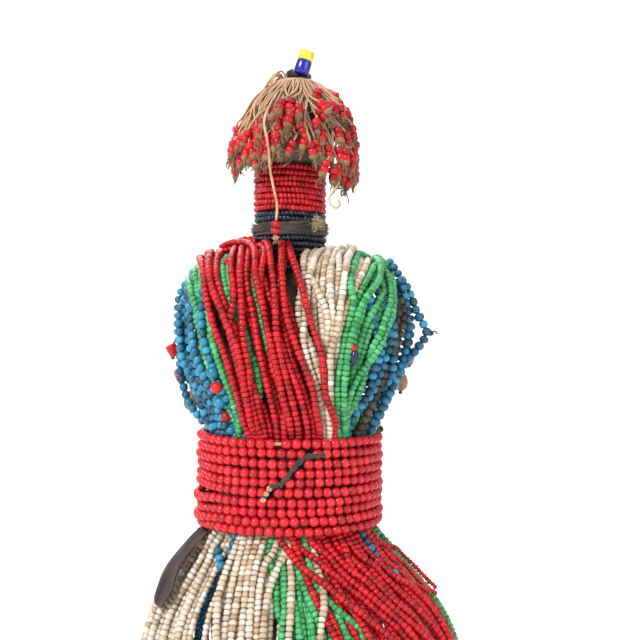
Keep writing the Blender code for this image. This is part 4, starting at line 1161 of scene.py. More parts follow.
TIE_PLACES = (
    (327, 453), (318, 455), (309, 457), (302, 461), (297, 467), (293, 472), (289, 478), (283, 484),
    (276, 487), (271, 491), (267, 498), (263, 505),
)
belt_lines = []
for row in range(BELT_ROWS):
    start, end = 0.02 * math.sin(5 * row), 2 * math.pi + 0.02 * math.sin(5 * row)
    from_top = BELT_ROWS - 1 - row
    opening = {0: 281, 1: 312, 2: 303, 3: 294, 4: 284, 5: 273}.get(from_top)
    if opening is None:
        start = 2.6 + 0.3 * row
        end = start + 2 * math.pi
    else:
        x = seen_at(opening, 440, BELT_DEEP)[0]
        middle = math.asin(x / BELT_WIDE)
        half = 0.088 if from_top else 0.085
        start, end = middle + half, middle + 2 * math.pi - half
    belt_lines.append(belt_ring(np.linspace(start, end, 180), row))
belt_step = 1.01 * BELT_BEAD
made = strung(
    "belt_rows", belt_lines, BALL, BELT_RED, spacing=belt_step, seed=5, size_change=0.045, tilt=0.2
)
gap_middle = math.asin(seen_at(281, 446, BELT_DEEP)[0] / BELT_WIDE)
cross = belt_ring(np.linspace(-0.02, 0.12, 8) + gap_middle - 0.05, 9)
bridge = sweep("belt_thread", cross, 0.7 * MM, 6, CORD, tint=1.0)
place_piece(joined("belt_beads", [made, bridge]), "belt_bead", "belt_red")


def wavy(points, amount, seed):
    """A line with a little unevenness across it."""
    own = np.random.default_rng(seed)
    points = even_steps(points, 0.8 * MM)
    shake = own.normal(0, amount, points.shape)
    return points + (shake + np.roll(shake, 1, axis=0)) / 2


def on_belt(px, py, lift):
    y = BELT_DEEP
    for _ in range(6):
        x, z = seen_at(px, py, y)
        y = (BELT_DEEP + lift) * math.sqrt(max(0.0, 1 - (x / (BELT_WIDE + lift)) ** 2))
    return (x, y, z)


tie_lifts = (1.2, 1.6, 1.4, 0.6, 1.4, 0.7, 1.4, 0.8, 1.5, 1.5, 1.3, 1.0)
tie_path = smooth_line([on_belt(px, py, lift * MM) for (px, py), lift in zip(TIE_PLACES, tie_lifts)], 70)
second_path = wavy(tie_path[:46], 0.34 * MM, 8) + (0, 0.4 * MM, -0.9 * MM)
twisted = {"twist": 3000.0, "lobes": 3, "lobe_depth": 0.3}
tie = [
    sweep("tie_cord", wavy(tie_path, 0.22 * MM, 3), 1.1 * MM, 10, TIE, **twisted),
    sweep("tie_second", second_path, 0.7 * MM, 8, TIE, **twisted),
]
TIE_KNOTS = (
    (272, 489, 1.5, CORD), (269, 494, 1.3, CORD), (266, 500, 1.3, CORD), (275, 486, 1.2, TIE),
    (297, 467, 1.4, TIE),
)
for px, py, size, fibre in TIE_KNOTS:
    knot = coiled(on_belt(px, py, 1.7 * MM), 0.42 * size * MM, 2.0, 1.2)
    tie.append(sweep("tie_knot", knot, 0.62 * MM, 6, fibre, tint=0.9))
TOP_CORD = ((352, 440), (358, 439), (364, 437), (370, 435), (376, 432), (380, 429))
top_line = [np.array(on_belt(px, py, -0.4 * MM)) for px, py in TOP_CORD]
tie.append(sweep("top_cord", wavy(smooth_line(top_line, 30), 0.3 * MM, 5), 1.1 * MM, 8, TIE, **twisted))
tie.append(sweep("top_knot", coiled(top_line[-1], 0.8 * MM, 2.2, 1.2), 0.85 * MM, 6, TIE, tint=0.6))
place_piece(joined("belt_tie_cord", tie), "dark_cord", "belt_tie")

# The neck's windings


def neck_rows(name, node, rows, glass, slot, tilt, seed, missing=0.0):
    low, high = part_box(node)
    thick = (high[2] - low[2]) / rows
    reach = (high[0] - low[0]) / 2 - 0.46 * thick
    lines = []
    for row in range(rows):
        turn = np.linspace(0, 2 * math.pi, 90) + 1.9 * row
        level = low[2] + (row + 0.5) * thick + tilt * np.sin(turn)
        level = level + 0.14 * MM * np.sin(3 * turn + 2 * row) + 0.1 * MM * np.sin(5 * turn + 3.1 * row)
        out = reach + 0.18 * MM * math.sin(2.7 * row)
        lines.append(np.stack([out * np.sin(turn), out * np.cos(turn), level], axis=1))
    sizes = {"spacing": NECK_STEP, "size_change": 0.08, "missing_share": missing}
    made = strung(name, lines, NECK_SEED, glass, seed=seed, **sizes)
    return place_piece(made, slot, node)


neck_rows("neck_collar_beads", "neck_collar_red", 8, RED, "red_bead", 0.5 * MM, 21, 0.006)
neck_rows("neck_ring_beads", "neck_ring_navy", 2, NAVY, "navy_bead", 0.35 * MM, 22)
neck_rows("neck_wrap_beads", "neck_wrap_navy", 6, NAVY, "navy_bead", 0.1 * MM, 23)

# The skirt: three layers of strings from under the belt

SKIRT_PANELS = {
    "white_left": ((97, 97), (47, 42)),
    "white_back": ((45, 40), (-2, 4)),
    "green_back": ((-1, 2), (-22, -38)),
    "red_back": ((3, -40), (-80, -87)),
    "green_right": ((-82, -89), (-104, -114)),
    "blue_front_right": ((-106, -116), (-139, -143)),
    "red_front": ((-141, -145), (-178, -176)),
    "white_front": ((-180, -178), (-218, -214)),
    "blue_front_left": ((-220, -216), (-261, -261)),
}
SKIRT_COUNTS = {
    "white_left": (6, 6, 7),
    "white_back": (2, 0, 6),
    "green_back": (8, 0, 5),
    "red_back": (9, 6, 9),
    "green_right": (6, 2, 5),
    "blue_front_right": (5, 6, 6),
    "red_front": (7, 6, 5),
    "white_front": (7, 6, 5),
    "blue_front_left": (7, 6, 6),
}
# Off the skirt's wall in millimetres, at the hem and at the top: under layer, outer layer, inmost layer
SKIRT_LIFTS = ((1.7, 1.0), (4.6, 3.4), (-2.2, -0.6))


def skirt_string(top, hem, lift_top, lift_hem, hem_level, wander=1.6, step=SEED_LENGTH, bend=0.0):
    """A string from under the belt to the hem. Angles are from the back, in degrees."""
    start = BELT_BOTTOM + 3 * MM + dice.uniform(0, step)
    share = np.linspace(0, 1, 60)
    level = start + (hem_level - start) * share
    wave = dice.uniform(0, 6.28, 2)
    angle = top + (hem - top) * share ** (0.9 + bend)
    angle = angle + wander * share * (np.sin(6 * share + wave[0]) + 0.5 * np.sin(13 * share + wave[1]))
    wide, deep, sway = skirt_measures(np.minimum(level, BELT_BOTTOM - 2 * MM))
    turn = np.radians(angle)
    reach = skirt_reach(turn, wide, deep)
    reach = reach + lift_top + (lift_hem - lift_top) * np.minimum(1, 2.5 * share)
    p = np.stack([reach * np.sin(turn) - sway, reach * np.cos(turn), level], axis=1)
    return even_steps(p, step)


skirt = {}
skirt_layers = {}
for name, ((left_top, left_hem), (right_top, right_hem)) in SKIRT_PANELS.items():
    strings, skirt_layers[name] = [], []
    for layer, count in enumerate(SKIRT_COUNTS[name]):
        for i in range(count):
            u = (i + 0.5) / count + dice.uniform(-0.04, 0.04)
            hem_level = SKIRT_HEM + dice.uniform(-1.5, 5.5) * MM + (16 * MM if layer == 2 else 0.0)
            skirt_layers[name].append(layer)
            lift, top_lift = SKIRT_LIFTS[layer]
            top, hem = left_top + (right_top - left_top) * u, left_hem + (right_hem - left_hem) * u
            bend = 0.12 * (layer % 2)
            strings.append(skirt_string(top, hem, top_lift * MM, lift * MM, hem_level, bend=bend))
    skirt[name] = strings


def skirt_route(pixels, lift=4.6 * MM, hem=None, step=SEED_LENGTH):
    """A string on the back of the skirt that follows places in the photograph, then falls to the hem."""
    angles, levels = [], []
    for px, py in pixels:
        y = 50 * MM
        for _ in range(12):
            x, z = seen_at(px, py, y)
            wide, deep, sway = (float(v) for v in skirt_measures(np.array(z)))
            left = max(0.0, 1 - min(1.0, abs((x + sway) / wide)) ** SKIRT_POWER)
            y = 0.5 * y + 0.5 * deep * left ** (1 / SKIRT_POWER)
        angles.append(math.atan2(x + sway, y))
        levels.append(z)
    order = np.argsort(levels)[::-1]
    levels, angles = np.array(levels)[order], np.array(angles)[order]
    end = SKIRT_HEM + dice.uniform(-1, 4) * MM if hem is None else hem
    level = np.linspace(BELT_BOTTOM + 3 * MM + dice.uniform(0, step), end, 60)
    slant = (angles[-1] - angles[-2]) / max(1e-4, levels[-2] - levels[-1]) if len(levels) > 1 else 0.0
    turn = smooth_curve(-level, -levels, angles)
    below = np.maximum(0, levels[-1] - level)
    turn = turn + slant * 18 * MM * (1 - np.exp(-below / (18 * MM)))
    wide, deep, sway = skirt_measures(np.minimum(level, BELT_BOTTOM - 2 * MM))
    reach = skirt_reach(turn, wide, deep)
    fallen = np.clip((BELT_BOTTOM - level) / (20 * MM), 0, 1)
    reach = reach + 2 * MM + (lift - 2 * MM) * fallen
    return even_steps(np.stack([reach * np.sin(turn) - sway, reach * np.cos(turn), level], axis=1), step)


SKIRT_SEEN = {
    "white_back": (
        ((237, 551), (224, 588), (221, 623)),
        ((243, 536), (239, 564), (232, 593), (228, 623)),
        ((249, 538), (246, 575), (241, 597), (236, 623)),
        ((258, 538), (252, 564), (248, 597), (245, 623)),
        ((268, 538), (260, 560), (254, 575), (255, 601), (254, 621)),
        ((280, 548), (269, 566), (262, 586), (261, 612)),
        ((289, 556), (278, 575), (271, 597), (268, 621)),
        ((294, 564), (294, 590), (293, 621)),
        ((327, 592), (327, 606), (326, 622)),
    ),
    "green_back": (
        ((271, 563), (276, 585), (280, 602), (285, 621)),
        ((285, 560), (286, 580), (289, 600), (287, 621)),
        ((300, 568), (307, 585), (315, 603), (321, 621)),
        ((316, 585), (324, 597), (338, 610), (352, 621)),
    ),
    "red_back": (
        ((280, 540), (291, 555), (310, 573), (325, 584), (349, 603), (371, 620)),
        ((294, 541), (307, 554), (322, 566), (338, 579), (363, 596), (384, 614)),
        ((310, 542), (325, 557), (343, 572), (360, 588), (376, 601), (395, 618)),
        ((323, 542), (338, 557), (357, 573), (374, 590), (390, 605), (408, 620)),
        ((337, 542), (353, 560), (370, 574), (388, 592), (403, 609), (416, 621)),
        ((348, 540), (364, 558), (381, 574), (399, 590), (414, 605), (429, 620)),
        ((358, 538), (373, 555), (389, 570), (407, 586), (426, 602), (436, 618)),
    ),
}
SKIRT_TOP_LIFT = {"white_back": 5.0, "green_back": 2.4, "red_back": 6.4}
for name, routes in SKIRT_SEEN.items():
    for route in routes:
        lift = SKIRT_TOP_LIFT[name] + dice.choice((-0.8, 0.0, 1.3))
        skirt[name].append(skirt_route(route, lift * MM))
skirt_blue_back = [
    skirt_route(
        ((210, 522), (212, 539), (216, 547), (219, 556), (222, 566)), 5.6 * MM, hem=122 * MM,
        step=3.4 * MM,
    ),
    skirt_route(((237, 531), (233, 545), (230, 555), (228, 568)), 5.2 * MM, hem=127 * MM, step=3.4 * MM),
    skirt_route(((364, 532), (371, 542), (382, 560), (399, 577)), 6.8 * MM, hem=117 * MM, step=3.4 * MM),
]
# Thin red strings that cross over the green ones at the doll's right and end above its hem
skirt_thin_red = [
    skirt_route(
        ((375, 547), (386, 566), (401, 576), (422, 590), (433, 599)), 7.4 * MM, 106 * MM, 1.75 * MM
    ),
    skirt_route(
        ((377, 542), (390, 552), (405, 568), (416, 582), (434, 598)), 8.4 * MM, 104 * MM, 1.75 * MM
    ),
    skirt_route(
        ((379, 540), (397, 549), (412, 564), (425, 582), (436, 599)), 9.6 * MM, 105 * MM, 1.75 * MM
    ),
]
groups = [(name, skirt[name], SEED_WIDTH / 2) for name in skirt]
groups.append(("blue_back", skirt_blue_back, 1.9 * MM))
groups.append(("thin_red", skirt_thin_red, 1.2 * MM))
lines = [line for _, strings, _ in groups for line in strings]
radii = [radius for _, strings, radius in groups for _ in strings]
settled = iter(settle(lines, radii, skirt_field, rounds=46, pull=0.02, hold=0.09))
for name, strings, _ in groups:
    skirt[name] = [next(settled) for _ in strings]
SKIRT_PIECES = (
    ("skirt_white_left", ("white_left",), WHITE, "white_bead", ("skirt_white_left",)),
    ("skirt_white_back", ("white_back",), WHITE, "white_bead", ("skirt_white_back",)),
    (
        "skirt_green_strings", ("green_back", "green_right"), GREEN, "green_bead",
        ("skirt_green_back", "skirt_green_right"),
    ),
    ("skirt_red_back_strings", ("red_back",), RED, "red_bead", ("skirt_red_back",)),
    ("skirt_blue_right", ("blue_front_right",), BLUE, "blue_bead", ("skirt_blue_front_right",)),
    ("skirt_red_front_strings", ("red_front",), RED, "red_bead", ("skirt_red_front",)),
    ("skirt_white_front_strings", ("white_front",), WHITE, "white_bead", ("skirt_white_front",)),
    ("skirt_blue_left", ("blue_front_left",), BLUE, "blue_bead", ("skirt_blue_front_left",)),
)
for name, parts, glass, slot, nodes in SKIRT_PIECES:
    made = []
    for layer, bead in enumerate((HIDDEN_SEED, SEED, INNER_SEED)):
        strings = []
        for part in parts:
            layers = skirt_layers[part] + [1] * (len(skirt[part]) - len(skirt_layers[part]))
            strings += [line for line, own in zip(skirt[part], layers) if own == layer]
        if strings:
            made.append(
                strung(
                    f"{name}_{layer}", strings, bead, glass, seed=len(name) + 30 + layer, size_change=0.12
                )
            )
    if name == "skirt_blue_left":
        made.append(
            strung("skirt_blue_back", skirt["blue_back"], BLUE_BALL, BLUE, spacing=BLUE_STEP, seed=4)
        )
    if name == "skirt_red_back_strings":
        made.append(strung("skirt_thin_red", skirt["thin_red"], THIN_SEED, RED, spacing=1.75 * MM, seed=6))
    place_piece(joined(name + "_piece", made), slot, *nodes)

# Loose ends of fibre, for frayed cords and tufts


def fibres(name, roots, ways, lengths, width, material, curl=0.35, seed=3, steps=3):
    """Thin tapering three-sided fibres that start at roots and bend as they go their ways."""
    own = np.random.default_rng(seed)
    points, faces, tint = [], [], []
    for root, way, length in zip(roots, ways, lengths):
        way = np.asarray(way, float) / np.linalg.norm(way)
        side = np.cross(way, own.normal(size=3))
        side /= np.linalg.norm(side)
        other = np.cross(way, side)
        bend = side * own.normal(0, curl) + other * own.normal(0, curl)
        start = len(points)
        shade = own.uniform(0, 1)
        for k in range(steps):
            share = k / steps
            middle = np.asarray(root) + length * (way * share + bend * share * share)
            thin = width * (1 - 0.6 * share)
            for i in range(3):
                turn = 2 * math.pi * i / 3
                points.append(tuple(middle + thin * (math.cos(turn) * side + math.sin(turn) * other)))
                tint.append(shade)
        points.append(tuple(np.asarray(root) + length * (way + bend)))
        tint.append(shade)
        faces.append((start + 2, start + 1, start))
        for k in range(steps - 1):
            for i in range(3):
                j = (i + 1) % 3
                a, b = start + 3 * k, start + 3 * (k + 1)
                faces.append((a + i, a + j, b + j, b + i))
        last, tip = start + 3 * (steps - 1), len(points) - 1
        faces += [(last + i, last + (i + 1) % 3, tip) for i in range(3)]
    return mesh_object(name, points, faces, material, bead_tint=tint)


# The fringe: cords from the crown, each with beads, a knot and a frayed end

FRINGE_LEVELS = np.array((268, 277, 283, 292, 297, 303, 309, 317, 324, 330, 333.5, 336)) * MM
FRINGE_INSIDE = np.array((23.0, 24.2, 25.0, 25.6, 25.2, 23.8, 21.8, 18.6, 14.2, 8.4, 6.6, 5.0)) * MM
FRINGE_TOP = 331.5 * MM
FRINGE_CORDS = 172
FRINGE_STEP = 2.8 * MM  # from one bead of a pair to the next
CORD_STEP = 1.8 * MM
CORD_RADIUS = 0.5 * MM
KNOT_RINGS = ((0.25, -0.5), (0.82, -0.3), (1.0, 0.0), (0.8, 0.3), (0.3, 0.5))
KNOT = bead_shape("cord_knot", 3.5 * MM, 3.2 * MM, 7, KNOT_RINGS)
NOTHING = bead_shape("no_bead", 0.1 * MM, 0.1 * MM, 3, CUBE)


def fringe_inside(level):
    return smooth_curve(level, FRINGE_LEVELS, FRINGE_INSIDE)


def fringe_field(p):
    reach = np.hypot(p[:, 0] - HEAD_X, p[:, 1])
    return reach / fringe_inside(p[:, 2]) - 1


# Where the beads of the lowest cords begin: degrees from the back, then millimetres above the jaw
HEM_ANGLES = (-180, -130, -85, -60, -30, 0, 18, 50, 85, 125, 180)
HEM_LEVELS = (27, 20, -4, -11, -8, 1, 3, -4, 0, 20, 27)


def fringe_hem(angle):
    turn = (math.degrees(angle) + 180) % 360 - 180
    return JAW + float(np.interp(turn, HEM_ANGLES, HEM_LEVELS)) * MM


def fringe_cord(angle, end, lift, wander):
    """A cord that lies over the crown and hangs to a level."""
    share = np.linspace(0, 1, 40)
    level = FRINGE_TOP + (end - FRINGE_TOP) * share**1.25
    wave = dice.uniform(0, 6.28)
    turn = angle + wander * share * np.sin(3.5 * share + wave)
    reach = fringe_inside(level) + lift * np.minimum(1, 0.2 + 1.6 * share)
    loose = dice.uniform(0, 2.4) if dice.uniform() < 0.4 else 0.0
    reach = reach + loose * MM * np.sin(math.pi * np.minimum(1, 1.9 * share)) ** 2
    reach = np.where(share < 0.04, 6.2 * MM, reach)
    points = np.stack([HEAD_X + reach * np.sin(turn), reach * np.cos(turn), level], axis=1)
    return even_steps(points, CORD_STEP)


cords = []
for i in range(FRINGE_CORDS):
    angle = 2 * math.pi * (i + dice.uniform(-0.4, 0.4)) / FRINGE_CORDS
    layer = i % 4
    # At the doll's left the cords are all long, so they show bare over the crown
    bare = float(np.interp(math.sin(angle + 0.35), (0.15, 0.75), (0.0, 1.0)))
    reach_down = (1.0, 0.74, 0.48, 0.24)[layer]
    reach_down += (1.0 - reach_down) * 0.62 * bare + dice.uniform(-0.18, 0.1)
    high = 325 * MM
    end = high + (fringe_hem(angle) - high) * min(1.0, reach_down)
    lift = (0.8 + 1.4 * layer + dice.uniform(-0.4, 0.6)) * MM
    cords.append(fringe_cord(angle, end, lift, 0.34))
radii = []
for line in cords:
    own = np.full(len(line), 0.75 * MM)
    own[-5:] = 1.9 * MM
    radii.append(own)
cords = settle(cords, radii, fringe_field, rounds=50, pull=0.04, hold=0.07)
pairs, knots, tails, roots, ways, lengths = [], [], [], [], [], []
for i, line in enumerate(cords):
    beads = 2 if dice.uniform() < 0.86 else 1
    way = (line[-1] - line[-4]) / np.linalg.norm(line[-1] - line[-4])
    way = way + dice.normal(0, 0.2, 3) * (1, 1, 0.2) + (0, 0, -0.8)
    way /= np.linalg.norm(way)
    start = line[-4]
    first, last = start + way * FRINGE_STEP / 2, start + way * FRINGE_STEP * (beads - 0.5)
    pairs.append(np.stack([first, last + way * 0.02 * MM]))
    knot = start + way * (FRINGE_STEP * beads + 1.0 * MM)
    knots.append(np.stack([knot - way * 0.5 * MM, knot + way * 0.5 * MM]))
    cords[i] = np.concatenate([line[:-3], [knot]])
    for _ in range(int(dice.integers(1, 3))):
        bend, swing = dice.normal(0, 1.0, 3), dice.uniform(1.5, 3.5)
        share = np.linspace(0, 1, 7)[:, None]
        fall = dice.uniform(3.0, 6.5) * MM
        tails.append(knot + way * fall * share + bend * 1.3 * MM * np.sin(swing * share))
    for _ in range(int(dice.integers(8, 13))):
        roots.append(knot + way * 0.5 * MM + dice.normal(0, 0.4 * MM, 3))
        ways.append(way + dice.normal(0, 0.34, 3))
        lengths.append(dice.uniform(2.4, 5.4) * MM)

# Slack loops of the same cord where they are gathered under the knob
loops = []
for i in range(15):
    angle = 2 * math.pi * (i + dice.uniform(-0.3, 0.3)) / 15
    share = np.linspace(0, 1, 12)
    out = (5.6 + dice.uniform(2.0, 5.5) * np.sin(math.pi * share)) * MM
    turn = angle + dice.uniform(0.3, 0.8) * (share - 0.5)
    rise = (331.0 + dice.uniform(1.0, 2.6) * np.sin(math.pi * share) - 0.5 * (out / MM - 5.6)) * MM
    loops.append(np.stack([HEAD_X + out * np.sin(turn), out * np.cos(turn), rise], axis=1))
# A taller bunch of them stands at the knob's left
for i in range(7):
    angle = 1.2 + 0.16 * i + dice.uniform(-0.1, 0.1)
    share = np.linspace(0, 1, 14)
    out = (4.6 + 9.0 * share + dice.uniform(-0.4, 0.8)) * MM
    turn = angle + dice.uniform(-0.3, 0.3) * share
    rise = (332.0 + dice.uniform(3.6, 5.6) * np.sin(math.pi * share**0.7) - 3.2 * share) * MM
    loops.append(np.stack([HEAD_X + out * np.sin(turn), out * np.cos(turn), rise], axis=1))
plain = {"missing_share": 1.1, "thread_radius": CORD_RADIUS, "thread_sides": 5, "thread_material": CORD}
fringe_cords = strung("fringe_lines", cords + loops, NOTHING, CORD, spacing=0.8 * MM, **plain)
plain.update({"thread_radius": 0.34 * MM, "thread_sides": 4, "thread_material": FRAYED})
fringe_tails = strung("fringe_tails", tails, NOTHING, FRAYED, spacing=0.7 * MM, **plain)
knotted = {"spacing": 0.1, "thread_radius": 0.2 * MM, "size_change": 0.28, "tilt": 0.6}
fringe_knots = strung("fringe_knots", knots, KNOT, FRAYED, seed=8, **knotted)
tufts = fibres("fringe_tufts", roots, ways, lengths, 0.24 * MM, FRAYED, curl=0.35, seed=12)

# One curled stray cord at the doll's right, and the long cord that hangs in the middle of its back
STRAY_CORD = (
    (341, 168), (341, 178), (338, 187), (334, 193), (331, 199), (333, 205), (338, 208), (342, 205),
    (340, 200),
)
stray_line = []
for px, py in STRAY_CORD:
    y = (16 + 0.3 * (py - 168)) * MM
    x, z = seen_at(px, py, y)
    stray_line.append((x, y, z))
stray_cord = sweep("stray_cord", smooth_line(stray_line, 30), 0.5 * MM, 6, CORD, tint=0.9)
parts = [fringe_cords, fringe_knots, fringe_tails, tufts, stray_cord]
place_piece(joined("fringe_cord_ends", parts), "fibre", "fringe_cords")
pair_sizes = {"spacing": FRINGE_STEP, "seed": 31, "size_change": 0.1, "tilt": 0.16}
place_piece(strung("fringe_red_beads", pairs, FRINGE_SEED, RED, **pair_sizes), "red_bead", "fringe_beads")

LONG_CORD = (
    (290, 82), (279, 92), (271, 106), (266, 121), (269, 137), (271, 149),
    (272.6, 170), (276, 189), (279, 205), (278, 221),
)
LONG_CORD_OUT = 34 * MM
LONG_CORD_WIDTH = 1.1 * MM
long_points = []
for px, py in LONG_CORD:
    y = 6 * MM + (LONG_CORD_OUT - 6 * MM) * min(1.0, (py - 80) / 62) ** 0.7
    y -= max(0, py - 165) / 56 * 8 * MM
    x, z = seen_at(px, py, y)
    long_points.append((x, y, z))
long_line = smooth_line(long_points, 90)
end = long_line[-1]
long_pair_line = [end + np.array((0.0, 0.0, -1.5)) * MM, end + np.array((0.1, 0.0, -4.35)) * MM]
pair_sizes.update({"seed": 2})
long_pair = strung("long_cord_beads", [long_pair_line], FRINGE_SEED, RED, **pair_sizes)
place_piece(long_pair, "red_bead")
tip = end + np.array((0.2, 0.0, -7.2)) * MM
knot = sweep("long_knot_coil", coiled(tip, 0.7 * MM, 2.2, 1.2), 0.65 * MM, 6, CORD, tint=0.5)
ways = [dice.normal(0, 0.5, 3) + (0, 0, -1) for _ in range(16)]
ends = fibres("long_tuft", [tip] * 16, ways, [3.4 * MM] * 16, 0.24 * MM, FRAYED)
long_knot = place_piece(joined("long_cord_knot", [knot, ends]), "fibre")
long_cord = place_piece(
    sweep("long_fringe_cord", long_line, LONG_CORD_WIDTH / 2, 8, CORD, tint=1.0), "fibre"
)


# The topknot: a resin knob and glossy glass beads, turned from finer profiles


def turned(name, centre, axis, length, radius, profile, sides, material):
    """A turned piece of (share of radius, share of length) rings about an axis."""
    turn = Vector(axis).to_track_quat("Z", "Y")
    points = []
    for wide, high in profile:
        half = radius * wide
        for i in range(sides):
            angle = 2 * math.pi * i / sides
            p = turn @ Vector((half * math.cos(angle), half * math.sin(angle), length * high))
            points.append(tuple(Vector(centre) + p))
    return mesh_object(name, points, tube_faces(len(profile), sides), material, flat=2)


def glossy_material(name, colour, dark, roughness=0.16):
    """Clear bright glass or plastic with faint scratches and patches of a darker tone."""
    made, nodes, links, shader = new_material(name)
    broad = noise(nodes, links, 160.0, 4.0)
    fine = noise(nodes, links, 1500.0, 3.0, 0.7)
    links.new(ramp(nodes, links, broad, ((0.25, dark), (0.55, colour))), shader.inputs["Base Color"])
    links.new(
        between(nodes, links, fine, 0.3, 0.8, roughness, roughness + 0.22), shader.inputs["Roughness"]
    )
    shader.inputs["Coat Weight"].default_value = 0.5
    shader.inputs["Coat Roughness"].default_value = 0.12
    bump(nodes, links, shader, fine, 0.05 * MM, 0.4)
    return made


YELLOW = glossy_material("yellow_glass", (0.84, 0.72, 0.03), (0.66, 0.50, 0.02))
ROYAL = glossy_material("royal_glass", (0.010, 0.012, 0.30), (0.006, 0.006, 0.14))
RESIN = glossy_material("black_resin", (0.012, 0.011, 0.011), (0.006, 0.005, 0.005), 0.4)
STACK = (
    (0.30, -0.46), (0.42, -0.5), (0.80, -0.5), (0.93, -0.46), (1.0, -0.38), (1.0, 0.0), (1.0, 0.38),
    (0.93, 0.46), (0.80, 0.5), (0.42, 0.5), (0.30, 0.46),
)
LEAN = math.radians(17)
for place, axis in (("back", (-math.sin(LEAN), 0.0, math.cos(LEAN))), ("front", (0.0, -0.5, 0.866))):
    for colour, glass in (("blue", ROYAL), ("yellow", YELLOW)):
        node = f"topknot_{colour}_{place}"
        low, high = (np.array(c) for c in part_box(node))
        size = 1.0 if place == "back" else 0.7
        length = (6.3 if colour == "blue" else 4.4) * MM * size
        made = turned(node + "_bead", (low + high) / 2, axis, length, 3.6 * MM * size, STACK, 24, glass)
        place_piece(made, colour.replace("blue", "royal") + "_bead", node)
low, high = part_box("topknot_knob")
middle = [(a + b) / 2 for a, b in zip(low, high)]
KNOB = (
    (0.55, -0.5), (0.72, -0.42), (0.80, -0.2), (0.94, 0.0), (0.97, 0.16), (0.86, 0.34), (0.66, 0.44),
    (0.35, 0.5), (0.10, 0.5),
)
tall, half_width = (high[2] - low[2]) * 0.98, (high[0] - low[0]) / 2 * 0.98
knob = turned("topknot_knob_resin", middle, (-0.16, -0.12, 1.0), tall, half_width, KNOB, 28, RESIN)
for v in knob.data.vertices:
    p = v.co * 1000
    v.co += v.normal * 0.18 * MM * math.sin(1.3 * p.x + 2 * p.y) * math.sin(1.7 * p.z + p.x)
place_piece(knob, "resin", "topknot_knob")

# Beads, nuts and one loose string at the sides

NUT = fibre_material("nut_shell", (0.130, 0.050, 0.020), (0.460, 0.210, 0.085), turns=700.0, roughness=0.42)
LUMP = (
    (0.12, -0.50), (0.55, -0.44), (0.86, -0.28), (1.0, -0.05), (0.95, 0.14), (0.74, 0.34), (0.44, 0.46),
    (0.14, 0.50),
)
BOX_BEAD = ((0.25, -0.5), (0.80, -0.47), (0.98, -0.36), (1.0, 0.0), (0.98, 0.36), (0.80, 0.47), (0.25, 0.5))
PENDANTS = (
    ("pendant_red_upper_left", RED, "red_bead", BOX_BEAD, (0.5, 0.1, 0.9)),
    ("pendant_red_lower_left", RED, "red_bead", BOX_BEAD, (0.3, 0.2, 1.0)),
    ("pendant_nut_left", NUT, "nut", LUMP, (-0.3, 0.1, 1.0)),
    ("pendant_nut_right", NUT, "nut", LUMP, (0.2, 0.1, 1.0)),
    ("pendant_red_right", RED, "red_bead", BOX_BEAD, (-0.3, 0.1, 1.0)),
)
for node, stuff, slot, profile, axis in PENDANTS:
    low, high = (np.array(c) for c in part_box(node))
    middle, tall = (low + high) / 2, high[2] - low[2]
    made = turned(node + "_lump", middle, axis, tall * 0.96, (high[0] - low[0]) * 0.48, profile, 16, stuff)
    tint = made.data.attributes.new("bead_tint", "FLOAT", "POINT").data
    tint.foreach_set("value", [0.35 if slot == "red_bead" else 0.9] * len(made.data.vertices))
    inward = np.array((-math.copysign(1.0, middle[0]), 0.35, 0.0))
    hang = [
        middle + np.array((0, 0, tall * 0.42)),
        middle + inward * 1.5 * MM + np.array((0, 0, 5.0)) * MM,
        middle + inward * 6 * MM + np.array((0, 0, 9.5)) * MM,
    ]
    thread = sweep(node + "_thread", smooth_line(hang, 12), 0.5 * MM, 5, TIE, tint=0.5)
    under = middle - np.array((0, 0, tall * 0.5))
    knot = coiled(under - np.array((0, 0, 0.35 * MM)), 0.5 * MM, 1.7, 1.2, 16)
    parts = [made, thread, sweep(node + "_knot", knot, 0.45 * MM, 5, TIE, tint=0.4)]
    place_piece(joined(node + "_hung", parts), slot, node)

LOOSE_STRING = (
    (390, 262, 0), (394, 268, 2), (400, 276, 4), (406, 285, 5), (413, 300, 6), (417, 312, 6),
    (423, 323, 6), (427, 331, 6), (425, 338, 6), (418, 348, 7), (408, 361, 9), (400, 374, 11),
    (393, 388, 13), (387, 402, 15), (380, 417, 17), (373, 430, 18),
)
points = []
for px, py, y in LOOSE_STRING:
    x, z = seen_at(px, py, y * MM)
    points.append((x, y * MM, z))
loose_line = even_steps(smooth_line(points, 120), 0.6 * MM)
LOOSE_THREAD_WIDTH = 0.8 * MM
bare = {"thread_radius": 0.15 * MM, "spacing": BLUE_STEP, "size_change": 0.14}
loose = strung("loose_blue_beads", [loose_line], BLUE_BALL, BLUE, seed=14, **bare)
x, z = seen_at(431, 333, 6 * MM)
stray = sweep("loose_knot", coiled((x, 6 * MM, z), 0.75 * MM, 2.1, 1.2, 30), 0.65 * MM, 6, TIE, tint=0.4)
tail_points = [(x, 6 * MM, z), (x - 1.8 * MM, 6 * MM, z + 0.8 * MM), (x - 3.0 * MM, 6.5 * MM, z - 0.3 * MM)]
tail = sweep("loose_tail", smooth_line(tail_points, 8), 0.4 * MM, 5, TIE, tint=0.5)
loose_beads = place_piece(joined("loose_blue_beads", [loose, stray, tail]), "blue_bead")
loose_thread = sweep("loose_blue_thread", loose_line, LOOSE_THREAD_WIDTH / 2, 6, TIE, tint=0.6)
place_piece(loose_thread, "dark_cord", "loose_string_right")

# The neck's binding: thread wound round and round, fuzzy with age

